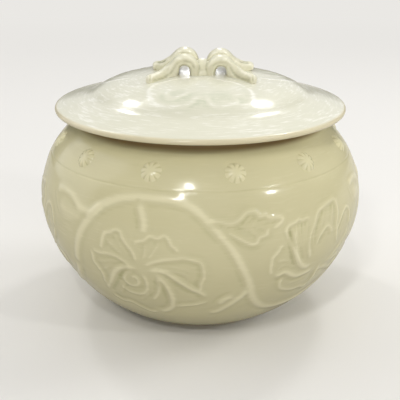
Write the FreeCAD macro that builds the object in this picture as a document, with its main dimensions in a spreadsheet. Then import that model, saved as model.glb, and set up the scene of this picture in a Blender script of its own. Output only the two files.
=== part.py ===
"""Covered celadon bowl: a round-bellied bowl, its drop-on lid and the tied-ribbon knob luted on top.

Frame: millimetres, +Z up, +X to the right of the knob's front, -Y towards its front.
Origin: centre of the foot, on the plane that the bowl stands on.
Two fired pieces come apart, the bowl and the lid. Each was put together from thrown, pressed and
cut pieces of clay, and every one of those is a sub-part here.
"""
import FreeCAD, Part
import math
import os
import Sketcher

Vector = FreeCAD.Vector
Rotation = FreeCAD.Rotation
Placement = FreeCAD.Placement

SIZES = {
    # bowl: its outside is two arcs that meet smoothly below the widest point
    "belly_radius": 75.0,        # widest radius of the bowl
    "belly_height": 55.3,        # height of the widest point
    "shoulder_curve": 43.1,      # radius of the upper arc of the outline
    "base_radius": 40.57,        # edge of the flat underside, where the lower arc ends
    "curve_change": 18.7,        # degrees below level where the lower arc takes over
    "wall": 4.5,
    "floor_thick": 6.0,
    "mouth_bore": 51.0,          # inner radius of the mouth
    "lip_width": 4.3,            # width of the mouth's flat lip
    "mouth_rise": 3.7,           # height of the upright mouth above the shoulder
    "lip_round": 0.9,
    "base_round": 2.0,
    # foot ring
    "foot_inset": 5.2,           # from the edge of the underside in to the foot
    "foot_width": 5.0,
    "foot_height": 3.0,
    "foot_draft": 0.8,           # widening towards the bowl, on each side
    "foot_round": 0.9,
    # pressed florets round the shoulder
    "floret_count": 12,
    "floret_radius": 4.3,
    "floret_rise": 1.7,
    "floret_sink": 1.2,          # clay below a floret's rim, which is cut to the shoulder
    "floret_drop": 11.8,         # from the mouth down to the florets' centres
    "floret_turn": 12.5,         # degrees from the front to the nearest floret
    # lid: a gently sloping brim, a steep dome edge and a low crown
    "brim_overhang": 9.8,        # from the mouth's outer edge to the centre of the brim's round edge
    "brim_edge": 1.3,            # radius of that round edge
    "brim_rise": 3.97,           # rise of the brim's top from its edge to the dome
    "dome_inset": 4.53,          # the dome stands this far inside the mouth's outer edge
    "dome_curve": 35.3,          # radius of the dome's edge
    "dome_slope": 38.1,          # degrees of slope where the dome leaves the brim
    "crown_slope": 9.1,          # degrees of slope where the low crown takes over
    "dome_round": 8.0,           # the dome leaves the brim in a soft bend
    "lid_wall": 4.0,
    # collar under the lid, which drops into the mouth
    "collar_clearance": 0.7,
    "collar_wall": 3.0,
    "collar_depth": 8.0,
    "collar_draft": 0.4,
    "collar_round": 0.8,
    "hollow_inset": 0.8,         # the lid's hollow is this much narrower than the collar's bore
    # knob: two ribbon loops of two strands each, and the knot that ties them
    "knob_shift": 1.0,           # the knob sits this far right of the lid's centre
    "loop_reach": 8.2,           # from the knot's middle to a loop's middle
    "loop_bore": 2.85,           # half the width of the hole through a loop
    "bore_tall": 6.7,
    "bore_round": 1.6,
    "front_thick": 4.2,
    "rear_thick": 3.8,
    "front_width": 10.4,         # widths of the strands along the loop's axis
    "rear_width": 11.2,
    "strand_round": 1.2,         # rounding of a strand's four long edges
    "strand_lap": 0.9,           # how far the two strands of a loop press into each other
    "front_rise": 8.4,           # from the crown to the top of each strand
    "rear_rise": 9.8,
    "left_tail_out": 23.8,       # the front tails' tips, sideways and along from the knot's middle
    "right_tail_out": 22.4,
    "front_tail_along": 16.3,
    "rear_tail_out": 22.0,       # the same for the rear tails
    "rear_tail_along": 10.5,
    "front_end_width": 6.0,
    "rear_end_width": 8.5,
    "tail_fill": 2.6,            # clay added under a tail, where it is pressed down to the crown
    "strand_sink": 1.4,          # how deep the clay is pressed into the crown before it is cut to it
    "dimple_radius": 1.3,        # thumb mark in the rolled end of each front tail
    "knot_half": 2.7,            # half the knot's width
    "knot_rise": 5.6,
    "knot_length": 17.0,
    "knot_round": 1.5,
}

# What follows from the driving sizes. "across" is measured from the bowl's axis. The bowl's heights
# are measured from the foot, and those inside the lid from the middle of the brim's round edge.
FORMULAS = {
    "shoulder_across": "belly_radius - shoulder_curve",
    "edge_in": "base_radius - shoulder_across",
    "edge_down": "belly_height - foot_height",
    "edge_along": "edge_in * cos(curve_change) + edge_down * sin(curve_change)",
    "edge_past": "edge_in^2 + edge_down^2 - shoulder_curve^2",
    "lower_curve": "shoulder_curve + edge_past / (2 * (shoulder_curve - edge_along))",
    "lower_across": "shoulder_across - (lower_curve - shoulder_curve) * cos(curve_change)",
    "lower_up": "belly_height + (lower_curve - shoulder_curve) * sin(curve_change)",
    "lip_radius": "mouth_bore + lip_width",
    "mouth_foot": "belly_height + sqrt(shoulder_curve^2 - (lip_radius - shoulder_across)^2)",
    "rim_height": "mouth_foot + mouth_rise",
    "floor_height": "foot_height + floor_thick",
    "foot_radius": "base_radius - foot_inset",
    "foot_bore": "foot_radius - foot_width",
    "floret_height": "rim_height - floret_drop",
    "floret_ball": "(floret_radius^2 + floret_rise^2) / (2 * floret_rise)",
    "lid_height": "rim_height + brim_edge",
    "brim_radius": "lip_radius + brim_overhang",
    "dome_radius": "lip_radius - dome_inset",
    "dome_foot": "brim_edge + brim_rise",
    "dome_across": "dome_radius - dome_curve * sin(dome_slope)",
    "dome_up": "dome_foot - dome_curve * cos(dome_slope)",
    "crown_edge": "dome_across + dome_curve * sin(crown_slope)",
    "crown_curve": "crown_edge / sin(crown_slope)",
    "crown_up": "dome_up + (dome_curve - crown_curve) * cos(crown_slope)",
    "crown_top": "crown_up + crown_curve",
    "collar_radius": "mouth_bore - collar_clearance",
    "collar_bore": "collar_radius - collar_wall",
    "hollow_radius": "collar_bore - hollow_inset",
    "knot_height": "knot_rise + strand_sink",
    "knot_curve": "(0.25 * knot_length^2 + knot_height^2) / (2 * knot_height)",
}

LOOP_ANGLES = (180.0, 150.0, 120.0, 90.0, 60.0, 35.0)   # stations round a loop, inner leg first
TAIL_SHARES = (0.2, 0.4, 0.6, 0.8, 1.0)                 # stations along a tail, from loop to tip
TAIL_LEAD = 0.32                                        # length of a tail's two end tangents, of its run
TIP_SEAT = 0.27                                         # height of a tip's middle, in strand thicknesses
TAIL_SPREAD = 1.3                                       # above 1, a tail turns outward late
FILL_LEAD = 0.6                                         # below 1, a tail is filled mostly near its loop
NOSE = 0.72                                             # the rounded end's last section, of the tip's
NOSE_OUT = 0.3                                          # its distance beyond the tip, in strand thicknesses
DIMPLE_SHY = 0.35                                       # a thumb mark's middle is outside the tip, in radii

doc = FreeCAD.newDocument("covered_bowl")


# ---------------------------------------------------------------- sheet
def write_sheet():
    """Give every size a spreadsheet cell under its own name, and read them all back."""
    sheet = doc.addObject("Spreadsheet::Sheet", "sizes")
    cells = {name: str(value) for name, value in SIZES.items()}
    cells.update({name: "=" + formula for name, formula in FORMULAS.items()})
    for row, (name, text) in enumerate(cells.items(), start=1):
        sheet.set(f"A{row}", name)
        sheet.setAlias(f"B{row}", name)
        sheet.set(f"B{row}", text)
    doc.recompute()
    return {name: float(sheet.get(name)) for name in cells}


size = write_sheet()


# ---------------------------------------------------------------- geometry helpers
def ray(centre, radius, degrees):
    """Point (across, up) on a circle, at an angle above level."""
    turn = math.radians(degrees)
    return centre[0] + radius * math.cos(turn), centre[1] + radius * math.sin(turn)


def upper_half(centre, radius, across):
    """Point of a circle's upper half at a distance from the axis."""
    return across, centre[1] + math.sqrt(radius ** 2 - (across - centre[0]) ** 2)


def right_half(centre, radius, up):
    """Point of a circle's right half at a height."""
    return centre[0] + math.sqrt(radius ** 2 - (up - centre[1]) ** 2), up


SHOULDER_CENTRE = (size["shoulder_across"], size["belly_height"])
LOWER_CENTRE = (size["lower_across"], size["lower_up"])
DOME_CENTRE = (size["dome_across"], size["dome_up"])
CROWN_CENTRE = (0.0, size["crown_up"])


# ---------------------------------------------------------------- sketches and bodies
def new_body(name):
    """PartDesign body whose label names its file."""
    body = doc.addObject("PartDesign::Body", name)
    body.Label = name
    return body


def new_sketch(body, name, plane):
    """Empty sketch on one of the body's own origin planes."""
    sketch = body.newObject("Sketcher::SketchObject", name)
    plane_object = [item for item in body.Origin.OriginFeatures if item.Role == plane][0]
    sketch.AttachmentSupport = [(plane_object, "")]
    sketch.MapMode = "FlatFace"
    return sketch


def drive(sketch, constraint, expression):
    """Add a dimension to a sketch and bind it to the sheet."""
    number = sketch.addConstraint(constraint)
    sketch.setExpression(f"Constraints[{number}]", expression)


def add_section(body, corners, arcs, pins):
    """Closed half section on the body's XZ plane.

    corners are (across, up) points in order. arcs maps the index of an edge, which starts at the
    corner of that index, to its centre and its turn: 1 anticlockwise, -1 clockwise.
    pins are (kind, edge, end, size): what the sheet drives, end being start, stop or centre.
    """
    sketch = new_sketch(body, body.Name + "_section", "XZ_Plane")
    ends = []
    for index, corner in enumerate(corners):
        start = Vector(*corner, 0)
        stop = Vector(*corners[(index + 1) % len(corners)], 0)
        if index in arcs:
            centre, turn = arcs[index]
            circle = Part.Circle(Vector(*centre, 0), Vector(0, 0, 1), math.dist(centre, corner))
            first, last = (start, stop) if turn > 0 else (stop, start)
            arc = Part.ArcOfCircle(circle, circle.parameter(first), circle.parameter(last))
            sketch.addGeometry(arc, False)
            start_end, stop_end = (1, 2) if turn > 0 else (2, 1)
            ends.append({"start": start_end, "stop": stop_end, "centre": 3})
        else:
            sketch.addGeometry(Part.LineSegment(start, stop), False)
            ends.append({"start": 1, "stop": 2})
    for index in range(len(corners)):
        after = (index + 1) % len(corners)
        joint = ("Coincident", index, ends[index]["stop"], after, ends[after]["start"])
        sketch.addConstraint(Sketcher.Constraint(*joint))
    for kind, index, end, expression in pins:
        if kind == "Radius":
            drive(sketch, Sketcher.Constraint(kind, index, sketch.Geometry[index].Radius), expression)
            continue
        point = sketch.getPoint(index, ends[index][end])
        along = point.x if kind == "DistanceX" else point.y
        drive(sketch, Sketcher.Constraint(kind, -1, 1, index, ends[index][end], along), expression)
    return sketch


def pin_point(edge, end, across, up):
    """Both coordinates of a point of the section, tied to the sheet."""
    return [("DistanceX", edge, end, across), ("DistanceY", edge, end, up)]


def revolve(body, sketch):
    """Turn a half section once round the body's Z axis."""
    turned = body.newObject("PartDesign::Revolution", body.Name + "_revolution")
    turned.Profile = sketch
    turned.ReferenceAxis = (sketch, ["V_Axis"])
    turned.Angle = 360.0
    doc.recompute()
    return turned


def round_rings(body, feature, rings, radius_name):
    """Fillet the full circles round the axis at the given (across, up) places."""
    names = []
    for number, edge in enumerate(feature.Shape.Edges, start=1):
        if edge.Degenerated or not isinstance(edge.Curve, Part.Circle) or not edge.isClosed():
            continue
        place = (edge.Curve.Radius, edge.Curve.Center.z)
        if any(math.dist(place, ring) < 0.01 for ring in rings):
            names.append(f"Edge{number}")
    fillet = body.newObject("PartDesign::Fillet", body.Name + "_" + radius_name)
    fillet.Base = (feature, names)
    fillet.setExpression("Radius", "sizes." + radius_name)
    doc.recompute()
    return fillet


# ---------------------------------------------------------------- bowl
def make_bowl():
    """Thrown shell: two-arc belly, short upright mouth and flat underside within the foot."""
    outer = size["shoulder_curve"]
    inner = outer - size["wall"]
    below = size["lower_curve"] - size["wall"]
    corners = [
        (0.0, size["foot_height"]),
        (size["base_radius"], size["foot_height"]),
        ray(SHOULDER_CENTRE, outer, -size["curve_change"]),
        (size["lip_radius"], size["mouth_foot"]),
        (size["lip_radius"], size["rim_height"]),
        (size["mouth_bore"], size["rim_height"]),
        upper_half(SHOULDER_CENTRE, inner, size["mouth_bore"]),
        ray(SHOULDER_CENTRE, inner, -size["curve_change"]),
        right_half(LOWER_CENTRE, below, size["floor_height"]),
        (0.0, size["floor_height"]),
    ]
    arcs = {
        1: (LOWER_CENTRE, 1),
        2: (SHOULDER_CENTRE, 1),
        6: (SHOULDER_CENTRE, -1),
        7: (LOWER_CENTRE, -1),
    }
    turn_across = "sizes.shoulder_across + sizes.shoulder_curve * cos(sizes.curve_change)"
    inner_across = "sizes.shoulder_across + (sizes.shoulder_curve - sizes.wall) * cos(sizes.curve_change)"
    pins = [
        *pin_point(0, "start", "0", "sizes.foot_height"),
        ("DistanceY", 1, "start", "sizes.foot_height"),
        *pin_point(1, "centre", "sizes.lower_across", "sizes.lower_up"),
        ("Radius", 1, None, "sizes.lower_curve"),
        ("DistanceX", 2, "start", turn_across),
        *pin_point(2, "centre", "sizes.shoulder_across", "sizes.belly_height"),
        ("DistanceX", 3, "start", "sizes.lip_radius"),
        *pin_point(4, "start", "sizes.lip_radius", "sizes.rim_height"),
        *pin_point(5, "start", "sizes.mouth_bore", "sizes.rim_height"),
        ("DistanceX", 6, "start", "sizes.mouth_bore"),
        *pin_point(6, "centre", "sizes.shoulder_across", "sizes.belly_height"),
        ("Radius", 6, None, "sizes.shoulder_curve - sizes.wall"),
        ("DistanceX", 7, "start", inner_across),
        *pin_point(7, "centre", "sizes.lower_across", "sizes.lower_up"),
        ("DistanceY", 8, "start", "sizes.floor_height"),
        *pin_point(9, "start", "0", "sizes.floor_height"),
    ]
    body = new_body("bowl_body")
    shell = revolve(body, add_section(body, corners, arcs, pins))
    lip = round_rings(body, shell, corners[4:6], "lip_round")
    round_rings(body, lip, corners[1:2], "base_round")
    return body


def make_foot():
    """Foot ring, wider where it meets the underside and rounded where it stands."""
    draft = size["foot_draft"]
    top = size["foot_height"]
    corners = [
        (size["foot_bore"], 0.0),
        (size["foot_radius"], 0.0),
        (size["foot_radius"] + draft, top),
        (size["foot_bore"] - draft, top),
    ]
    pins = [
        *pin_point(0, "start", "sizes.foot_bore", "0"),
        *pin_point(1, "start", "sizes.foot_radius", "0"),
        *pin_point(2, "start", "sizes.foot_radius + sizes.foot_draft", "sizes.foot_height"),
        *pin_point(3, "start", "sizes.foot_bore - sizes.foot_draft", "sizes.foot_height"),
    ]
    body = new_body("foot_ring")
    ring = revolve(body, add_section(body, corners, {}, pins))
    round_rings(body, ring, corners[:2], "foot_round")
    return body


def make_florets(bowl):
    """Pressed buttons of clay round the shoulder, each cut to the wall that it is luted to."""
    up = size["floret_height"]
    across, _ = right_half(SHOULDER_CENTRE, size["shoulder_curve"], up)
    lean = math.degrees(math.acos((up - size["belly_height"]) / size["shoulder_curve"]))
    florets = []
    for number in range(int(size["floret_count"])):
        name = f"floret_{number + 1:02d}"
        turn = size["floret_turn"] - 90.0 + number * 360.0 / size["floret_count"]
        cap = doc.addObject("Part::Sphere", name + "_cap")
        cap.setExpression("Radius", "sizes.floret_ball")
        cap.setExpression("Angle1", "asin(1 - (sizes.floret_rise + sizes.floret_sink) / sizes.floret_ball)")
        around = Rotation(Vector(0, 0, 1), turn)
        outward = around.multiply(Rotation(Vector(0, 1, 0), lean))
        seat = around.multVec(Vector(across, 0, up))
        normal = outward.multVec(Vector(0, 0, 1))
        cap.Placement = Placement(seat - normal * (size["floret_ball"] - size["floret_rise"]), outward)
        floret = doc.addObject("Part::Cut", name)
        floret.Label = name
        floret.Base = cap
        floret.Tool = bowl
        florets.append(floret)
    return florets


# ---------------------------------------------------------------- lid
def seat_on_mouth(item, across=0.0, up=0.0):
    """Raise a piece modelled about the middle of the brim's edge to where the lid sits."""
    item.Placement = Placement(Vector(across, 0, size["lid_height"] + up), Rotation())
    item.setExpression("Placement.Base.z", f"sizes.lid_height + {up}")


def make_lid():
    """Thrown cover: rounded brim, flat seat below it, domed top and a hollow that follows it."""
    wall = size["lid_wall"]
    edge = size["brim_edge"]
    brim = size["brim_radius"]
    crown_turn = 90.0 - size["crown_slope"]
    inner_dome = size["dome_curve"] - wall
    corners = [
        (0.0, size["crown_top"] - wall),
        ray(DOME_CENTRE, inner_dome, crown_turn),
        upper_half(DOME_CENTRE, inner_dome, size["hollow_radius"]),
        (size["hollow_radius"], -edge),
        (brim, -edge),
        (brim, edge),
        (size["dome_radius"], size["dome_foot"]),
        ray(DOME_CENTRE, size["dome_curve"], crown_turn),
        (0.0, size["crown_top"]),
    ]
    arcs = {
        0: (CROWN_CENTRE, -1),
        1: (DOME_CENTRE, -1),
        4: ((brim, 0.0), 1),
        6: (DOME_CENTRE, 1),
        7: (CROWN_CENTRE, 1),
    }
    inner_across = "sizes.dome_across + (sizes.dome_curve - sizes.lid_wall) * sin(sizes.crown_slope)"
    pins = [
        *pin_point(0, "centre", "0", "sizes.crown_up"),
        ("Radius", 0, None, "sizes.crown_curve - sizes.lid_wall"),
        ("DistanceX", 0, "start", "0"),
        ("DistanceX", 1, "start", inner_across),
        *pin_point(1, "centre", "sizes.dome_across", "sizes.dome_up"),
        ("DistanceX", 2, "start", "sizes.hollow_radius"),
        *pin_point(3, "start", "sizes.hollow_radius", "-sizes.brim_edge"),
        *pin_point(4, "start", "sizes.brim_radius", "-sizes.brim_edge"),
        *pin_point(4, "centre", "sizes.brim_radius", "0"),
        ("DistanceX", 5, "start", "sizes.brim_radius"),
        *pin_point(6, "start", "sizes.dome_radius", "sizes.dome_foot"),
        *pin_point(6, "centre", "sizes.dome_across", "sizes.dome_up"),
        ("DistanceX", 7, "start", "sizes.crown_edge"),
        *pin_point(7, "centre", "0", "sizes.crown_up"),
        ("DistanceX", 8, "start", "0"),
    ]
    body = new_body("lid_cover")
    cover = revolve(body, add_section(body, corners, arcs, pins))
    round_rings(body, cover, corners[6:7], "dome_round")
    seat_on_mouth(body)
    return body


def make_collar():
    """Locating collar under the lid, with a little draft so that it drops into the mouth."""
    top = -size["brim_edge"]
    bottom = top - size["collar_depth"]
    outer = size["collar_radius"]
    corners = [
        (size["collar_bore"], top),
        (size["collar_bore"], bottom),
        (outer - size["collar_draft"], bottom),
        (outer, top),
    ]
    bottom_name = "-sizes.brim_edge - sizes.collar_depth"
    pins = [
        *pin_point(0, "start", "sizes.collar_bore", "-sizes.brim_edge"),
        *pin_point(1, "start", "sizes.collar_bore", bottom_name),
        *pin_point(2, "start", "sizes.collar_radius - sizes.collar_draft", bottom_name),
        *pin_point(3, "start", "sizes.collar_radius", "-sizes.brim_edge"),
    ]
    body = new_body("lid_collar")
    ring = revolve(body, add_section(body, corners, {}, pins))
    round_rings(body, ring, corners[1:3], "collar_round")
    seat_on_mouth(body)
    return body


# ---------------------------------------------------------------- knob
def loop_stations(rise, thick, width, along):
    """Stations (across, along, up, slope, width, fill) up the inner leg and over the top of a loop."""
    reach = size["loop_bore"] + 0.5 * thick
    middle = (size["loop_reach"], size["crown_top"] + rise - 0.5 * thick - reach)
    foot_up = size["crown_top"] - size["strand_sink"]
    leg = size["loop_reach"] - reach
    stations = [(leg, along, up, 90.0, width, 0.0) for up in (foot_up, 0.5 * (foot_up + middle[1]))]
    for angle in LOOP_ANGLES:
        across, up = ray(middle, reach, angle)
        stations.append((across, along, up, angle - 90.0, width, 0.0))
    return stations, middle


def tail_stations(start, tip, thick, end_width):
    """Stations along a tail, which leaves the loop steeply and lies down along the crown."""
    crown = upper_half(CROWN_CENTRE, size["crown_curve"], math.hypot(*tip))
    lie = -math.asin(tip[0] / size["crown_curve"])
    end = (tip[0], crown[1] + TIP_SEAT * thick)
    lead = TAIL_LEAD * (tip[0] - start[0])
    turn = math.radians(start[3])
    poles = [
        (start[0], start[2]),
        (start[0] + lead, start[2] + lead * math.tan(turn)),
        (end[0] - lead, end[1] - lead * math.tan(lie)),
        end,
    ]
    curve = Part.BezierCurve()
    curve.setPoles([Vector(across, 0, up) for across, up in poles])
    stations = []
    for share in TAIL_SHARES:
        place, way = curve.value(share), curve.tangent(share)[0]
        along = start[1] + (tip[1] - start[1]) * share ** TAIL_SPREAD
        width = start[4] + (end_width - start[4]) * share
        fill = size["tail_fill"] * math.sin(math.pi * share ** FILL_LEAD)
        slope = math.degrees(math.atan2(way.z, way.x))
        drop = 0.5 * fill
        across = place.x + drop * math.sin(math.radians(slope))
        up = place.z - drop * math.cos(math.radians(slope))
        stations.append((across, along, up, slope, width, fill))
    return stations


def rounded_section(name, width, thick, thick_rule, bend_name="strand_round"):
    """Rounded rectangle about its own middle: a strand of flattened clay, or a hole, cut across."""
    sketch = doc.addObject("Sketcher::SketchObject", name)
    half, rise, bend = 0.5 * width, 0.5 * thick, size[bend_name]
    corners = [(half, -rise, -90.0), (half, rise, 0.0), (-half, rise, 90.0), (-half, -rise, 180.0)]
    for across, up, turn in corners:
        centre = Vector(across - math.copysign(bend, across), up - math.copysign(bend, up), 0)
        circle = Part.Circle(centre, Vector(0, 0, 1), bend)
        sketch.addGeometry(Part.ArcOfCircle(circle, math.radians(turn), math.radians(turn + 90.0)), False)
    for index in range(4):
        start = sketch.getPoint(index, 2)
        stop = sketch.getPoint((index + 1) % 4, 1)
        sketch.addGeometry(Part.LineSegment(start, stop), False)
    for index in range(4):
        after = (index + 1) % 4
        sketch.addConstraint(Sketcher.Constraint("Tangent", index, 2, 4 + index, 1))
        sketch.addConstraint(Sketcher.Constraint("Tangent", 4 + index, 2, after, 1))
        sketch.addConstraint(Sketcher.Constraint("Vertical" if index % 2 == 0 else "Horizontal", 4 + index))
    for index in (1, 2, 3):
        sketch.addConstraint(Sketcher.Constraint("Equal", 0, index))
    sketch.addConstraint(Sketcher.Constraint("Symmetric", 0, 3, 2, 3, -1, 1))
    sketch.addConstraint(Sketcher.Constraint("DistanceX", 6, 1, 4, 1, width))
    drive(sketch, Sketcher.Constraint("DistanceY", 7, 1, 5, 1, thick), thick_rule)
    drive(sketch, Sketcher.Constraint("Radius", 0, bend), f"sizes.{bend_name}")
    return sketch


def make_strand(name, side, kind, along, tip):
    """One strand of a loop: flattened clay lofted from its foot, over the loop, to its tail."""
    thick = size[kind + "_thick"]
    rule = f"sizes.{kind}_thick"
    loop, middle = loop_stations(size[kind + "_rise"], thick, size[kind + "_width"], along)
    stations = loop + tail_stations(loop[-1], tip, thick, size[kind + "_end_width"])
    sections = []

    def lay(across, forth, up, slope, width, section_thick, section_rule):
        section = rounded_section(f"{name}_section_{len(sections)}", width, section_thick, section_rule)
        turned = Rotation(Vector(0, 1, 0), side * (90.0 - slope))
        place = Vector(size["knob_shift"] + side * across, forth, up + size["lid_height"])
        section.Placement = Placement(place, turned.multiply(Rotation(Vector(0, 0, 1), 90.0)))
        sections.append(section)

    for across, forth, up, slope, width, fill in stations:
        lay(across, forth, up, slope, width, thick + fill, f"{rule} + {fill}")
    across, forth, up, slope, width, _ = stations[-1]
    beyond = NOSE_OUT * thick
    lean = math.radians(slope)
    lay(across + beyond * math.cos(lean), forth, up + beyond * math.sin(lean), slope, NOSE * width,
        NOSE * thick, f"{NOSE} * {rule}")
    loft = doc.addObject("Part::Loft", name + "_loft")
    loft.Sections = sections
    loft.Solid = True
    loft.Ruled = False
    loft.MaxDegree = 3
    hole = rounded_section(
        name + "_hole", 2.0 * size["loop_bore"], size["bore_tall"], "sizes.bore_tall", "bore_round"
    )
    across = size["knob_shift"] + side * middle[0]
    start = Vector(across, along + size[kind + "_width"], middle[1] + size["lid_height"])
    hole.Placement = Placement(start, Rotation(Vector(1, 0, 0), 90.0))
    tunnel = doc.addObject("Part::Extrusion", name + "_tunnel")
    tunnel.Base = hole
    tunnel.DirMode = "Normal"
    tunnel.Solid = True
    tunnel.setExpression("LengthFwd", f"2 * sizes.{kind}_width")
    return loft, tunnel, sections[-1].Placement


def cut_to(name, base, tools):
    """The clay of base that is left once every tool's clay is taken from it."""
    for number, tool in enumerate(tools):
        cut = doc.addObject("Part::Cut", f"{name}_cut_{number}")
        cut.Base = base
        cut.Tool = tool
        base = cut
    base.Label = name
    return base


def make_seam_blocks():
    """Blocks that cover the knob behind and before the plane where front and rear strands meet."""
    blocks = []
    for name, start in (("behind", 0.0), ("before", -1.0)):
        block = doc.addObject("Part::Box", "seam_" + name)
        for side in ("Length", "Width", "Height"):
            block.setExpression(side, "2 * sizes.dome_radius")
        span = 2.0 * size["dome_radius"]
        block.Placement = Placement(Vector(-0.5 * span, start * span, size["rim_height"]), Rotation())
        blocks.append(block)
    return blocks


def make_loop(side_name, side, lid, behind, before):
    """A loop's front strand, thumbed at its tip, and the rear strand that lies against it."""
    lap = 0.5 * size["strand_lap"]
    front, front_tunnel, front_end = make_strand(
        f"knob_{side_name}_front", side, "front", lap - 0.5 * size["front_width"],
        (size[side_name + "_tail_out"], -size["front_tail_along"]),
    )
    dimple = doc.addObject("Part::Sphere", f"knob_{side_name}_dimple")
    dimple.setExpression("Radius", "sizes.dimple_radius")
    outward = front_end.Rotation.multVec(Vector(0, 0, 1))
    dimple.Placement = Placement(front_end.Base + outward * DIMPLE_SHY * size["dimple_radius"], Rotation())
    rear, rear_tunnel, _ = make_strand(
        f"knob_{side_name}_rear", side, "rear", 0.5 * size["rear_width"] - lap,
        (size["rear_tail_out"], size["rear_tail_along"]),
    )
    return [
        cut_to(f"knob_{side_name}_front_strand", front, [lid, behind, front_tunnel, dimple]),
        cut_to(f"knob_{side_name}_rear_strand", rear, [lid, before, rear_tunnel]),
    ]


def make_knot(lid, strands):
    """Strap over the middle of the bow, cut to the crown and to the strands that it ties."""
    body = new_body("knot_strap")
    sketch = new_sketch(body, "knot_outline", "YZ_Plane")
    half = 0.5 * size["knot_length"]
    radius = size["knot_curve"]
    circle = Part.Circle(Vector(0, size["knot_height"] - radius, 0), Vector(0, 0, 1), radius)
    ends = [Vector(half, 0, 0), Vector(-half, 0, 0)]
    sketch.addGeometry(Part.ArcOfCircle(circle, *[circle.parameter(end) for end in ends]), False)
    sketch.addGeometry(Part.LineSegment(ends[1], ends[0]), False)
    sketch.addConstraint(Sketcher.Constraint("Coincident", 0, 2, 1, 1))
    sketch.addConstraint(Sketcher.Constraint("Coincident", 1, 2, 0, 1))
    sketch.addConstraint(Sketcher.Constraint("PointOnObject", 0, 1, -1))
    sketch.addConstraint(Sketcher.Constraint("Symmetric", 0, 1, 0, 2, -1, 1))
    drive(sketch, Sketcher.Constraint("DistanceX", 1, 1, 1, 2, 2.0 * half), "sizes.knot_length")
    drive(sketch, Sketcher.Constraint("Radius", 0, radius), "sizes.knot_curve")
    strap = body.newObject("PartDesign::Pad", "knot_pad")
    strap.Profile = sketch
    strap.Midplane = True
    strap.setExpression("Length", "2 * sizes.knot_half")
    doc.recompute()
    softened = body.newObject("PartDesign::Fillet", "knot_softened")
    numbered = enumerate(strap.Shape.Edges, start=1)
    curved = [f"Edge{number}" for number, edge in numbered if isinstance(edge.Curve, Part.Circle)]
    softened.Base = (strap, curved)
    softened.setExpression("Radius", "sizes.knot_round")
    up = size["lid_height"] + size["crown_top"] - size["strand_sink"]
    body.Placement = Placement(Vector(size["knob_shift"], 0, up), Rotation())
    doc.recompute()
    return cut_to("knob_knot", body, [lid, *strands])


# ---------------------------------------------------------------- build and export
def check(parts):
    """Stop if any object failed or any sub-part is not one sound solid."""
    doc.recompute()
    for item in doc.Objects:
        if "Invalid" in item.State or "Error" in item.State:
            raise RuntimeError(f"{item.Name} failed: {item.State}")
    for part in parts:
        shape = part.Shape
        if shape.isNull() or not shape.isValid() or len(shape.Solids) != 1:
            raise RuntimeError(f"{part.Label} is not one sound solid")


def main():
    bowl = make_bowl()
    parts = [bowl, make_foot(), *make_florets(bowl)]
    lid = make_lid()
    parts += [lid, make_collar()]
    blocks = make_seam_blocks()
    strands = make_loop("left", -1, lid, *blocks) + make_loop("right", 1, lid, *blocks)
    parts += [*strands, make_knot(lid, strands)]
    check(parts)
    os.makedirs("parts", exist_ok=True)
    for part in parts:
        part.Shape.exportStep(f"parts/{part.Label}.step")
        box = part.Shape.BoundBox
        print(f"{part.Label:24s} volume {part.Shape.Volume:9.1f}  width {box.XLength:6.1f}  "
              f"depth {box.YLength:6.1f}  from {box.ZMin:6.1f} to {box.ZMax:6.1f}")


main()
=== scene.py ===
# %% [markdown]
# # A covered celadon bowl
# This lesson builds the looks of a small stoneware bowl with a lid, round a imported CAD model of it.
# The real one is thrown on a wheel, carved with a peony scroll while the clay is still soft, and
# fired under a thick grey-green glaze. The lid has a bow of two clay ribbons for a knob.
# The first cell loads the CAD model. It is the fixed frame: every piece made below lies where the
# CAD solid of the same piece lies, and moves with the same body, the bowl or the lid.

# %% Load the frame
import math
from functools import partial

import bpy
from mathutils import Matrix, Vector


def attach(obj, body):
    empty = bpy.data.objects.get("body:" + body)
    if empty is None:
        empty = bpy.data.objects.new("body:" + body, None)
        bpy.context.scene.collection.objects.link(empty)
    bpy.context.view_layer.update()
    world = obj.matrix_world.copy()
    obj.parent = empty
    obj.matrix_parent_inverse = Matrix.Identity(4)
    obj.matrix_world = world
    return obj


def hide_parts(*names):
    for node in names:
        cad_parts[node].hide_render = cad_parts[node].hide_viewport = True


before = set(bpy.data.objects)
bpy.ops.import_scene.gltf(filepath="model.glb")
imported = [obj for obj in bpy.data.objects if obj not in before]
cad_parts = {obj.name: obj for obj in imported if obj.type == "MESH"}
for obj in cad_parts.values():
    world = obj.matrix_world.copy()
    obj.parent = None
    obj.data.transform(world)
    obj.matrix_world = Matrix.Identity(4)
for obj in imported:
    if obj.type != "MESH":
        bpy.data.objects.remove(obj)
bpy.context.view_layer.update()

# %% [markdown]
# ## Small helpers
# Sizes are written in millimetres, as a potter would measure them, and turned to metres once.
# Colours are written as the hex values that a colour picker shows. Blender's shaders work in linear
# light, so one function turns a hex value into a linear colour. Another adds a node to a tree with
# its settings and its links in one line, so that the trees below read from top to bottom. Where a
# list gives a node's inputs, they are in the node's own order: a map range takes a value, the two
# ends that it is measured between, and the two ends that it is turned into.

# %% Units, colours and nodes
MM = 0.001
MATH, VECTOR_MATH, MAP_RANGE = "ShaderNodeMath", "ShaderNodeVectorMath", "ShaderNodeMapRange"
SEPARATE, COMBINE = "ShaderNodeSeparateXYZ", "ShaderNodeCombineXYZ"
NOISE, MIX = "ShaderNodeTexNoise", "ShaderNodeMix"
STORE, STORED = "GeometryNodeStoreNamedAttribute", "GeometryNodeInputNamedAttribute"
MOVE, TURN = "GeometryNodeSetPosition", "ShaderNodeVectorRotate"


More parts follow.
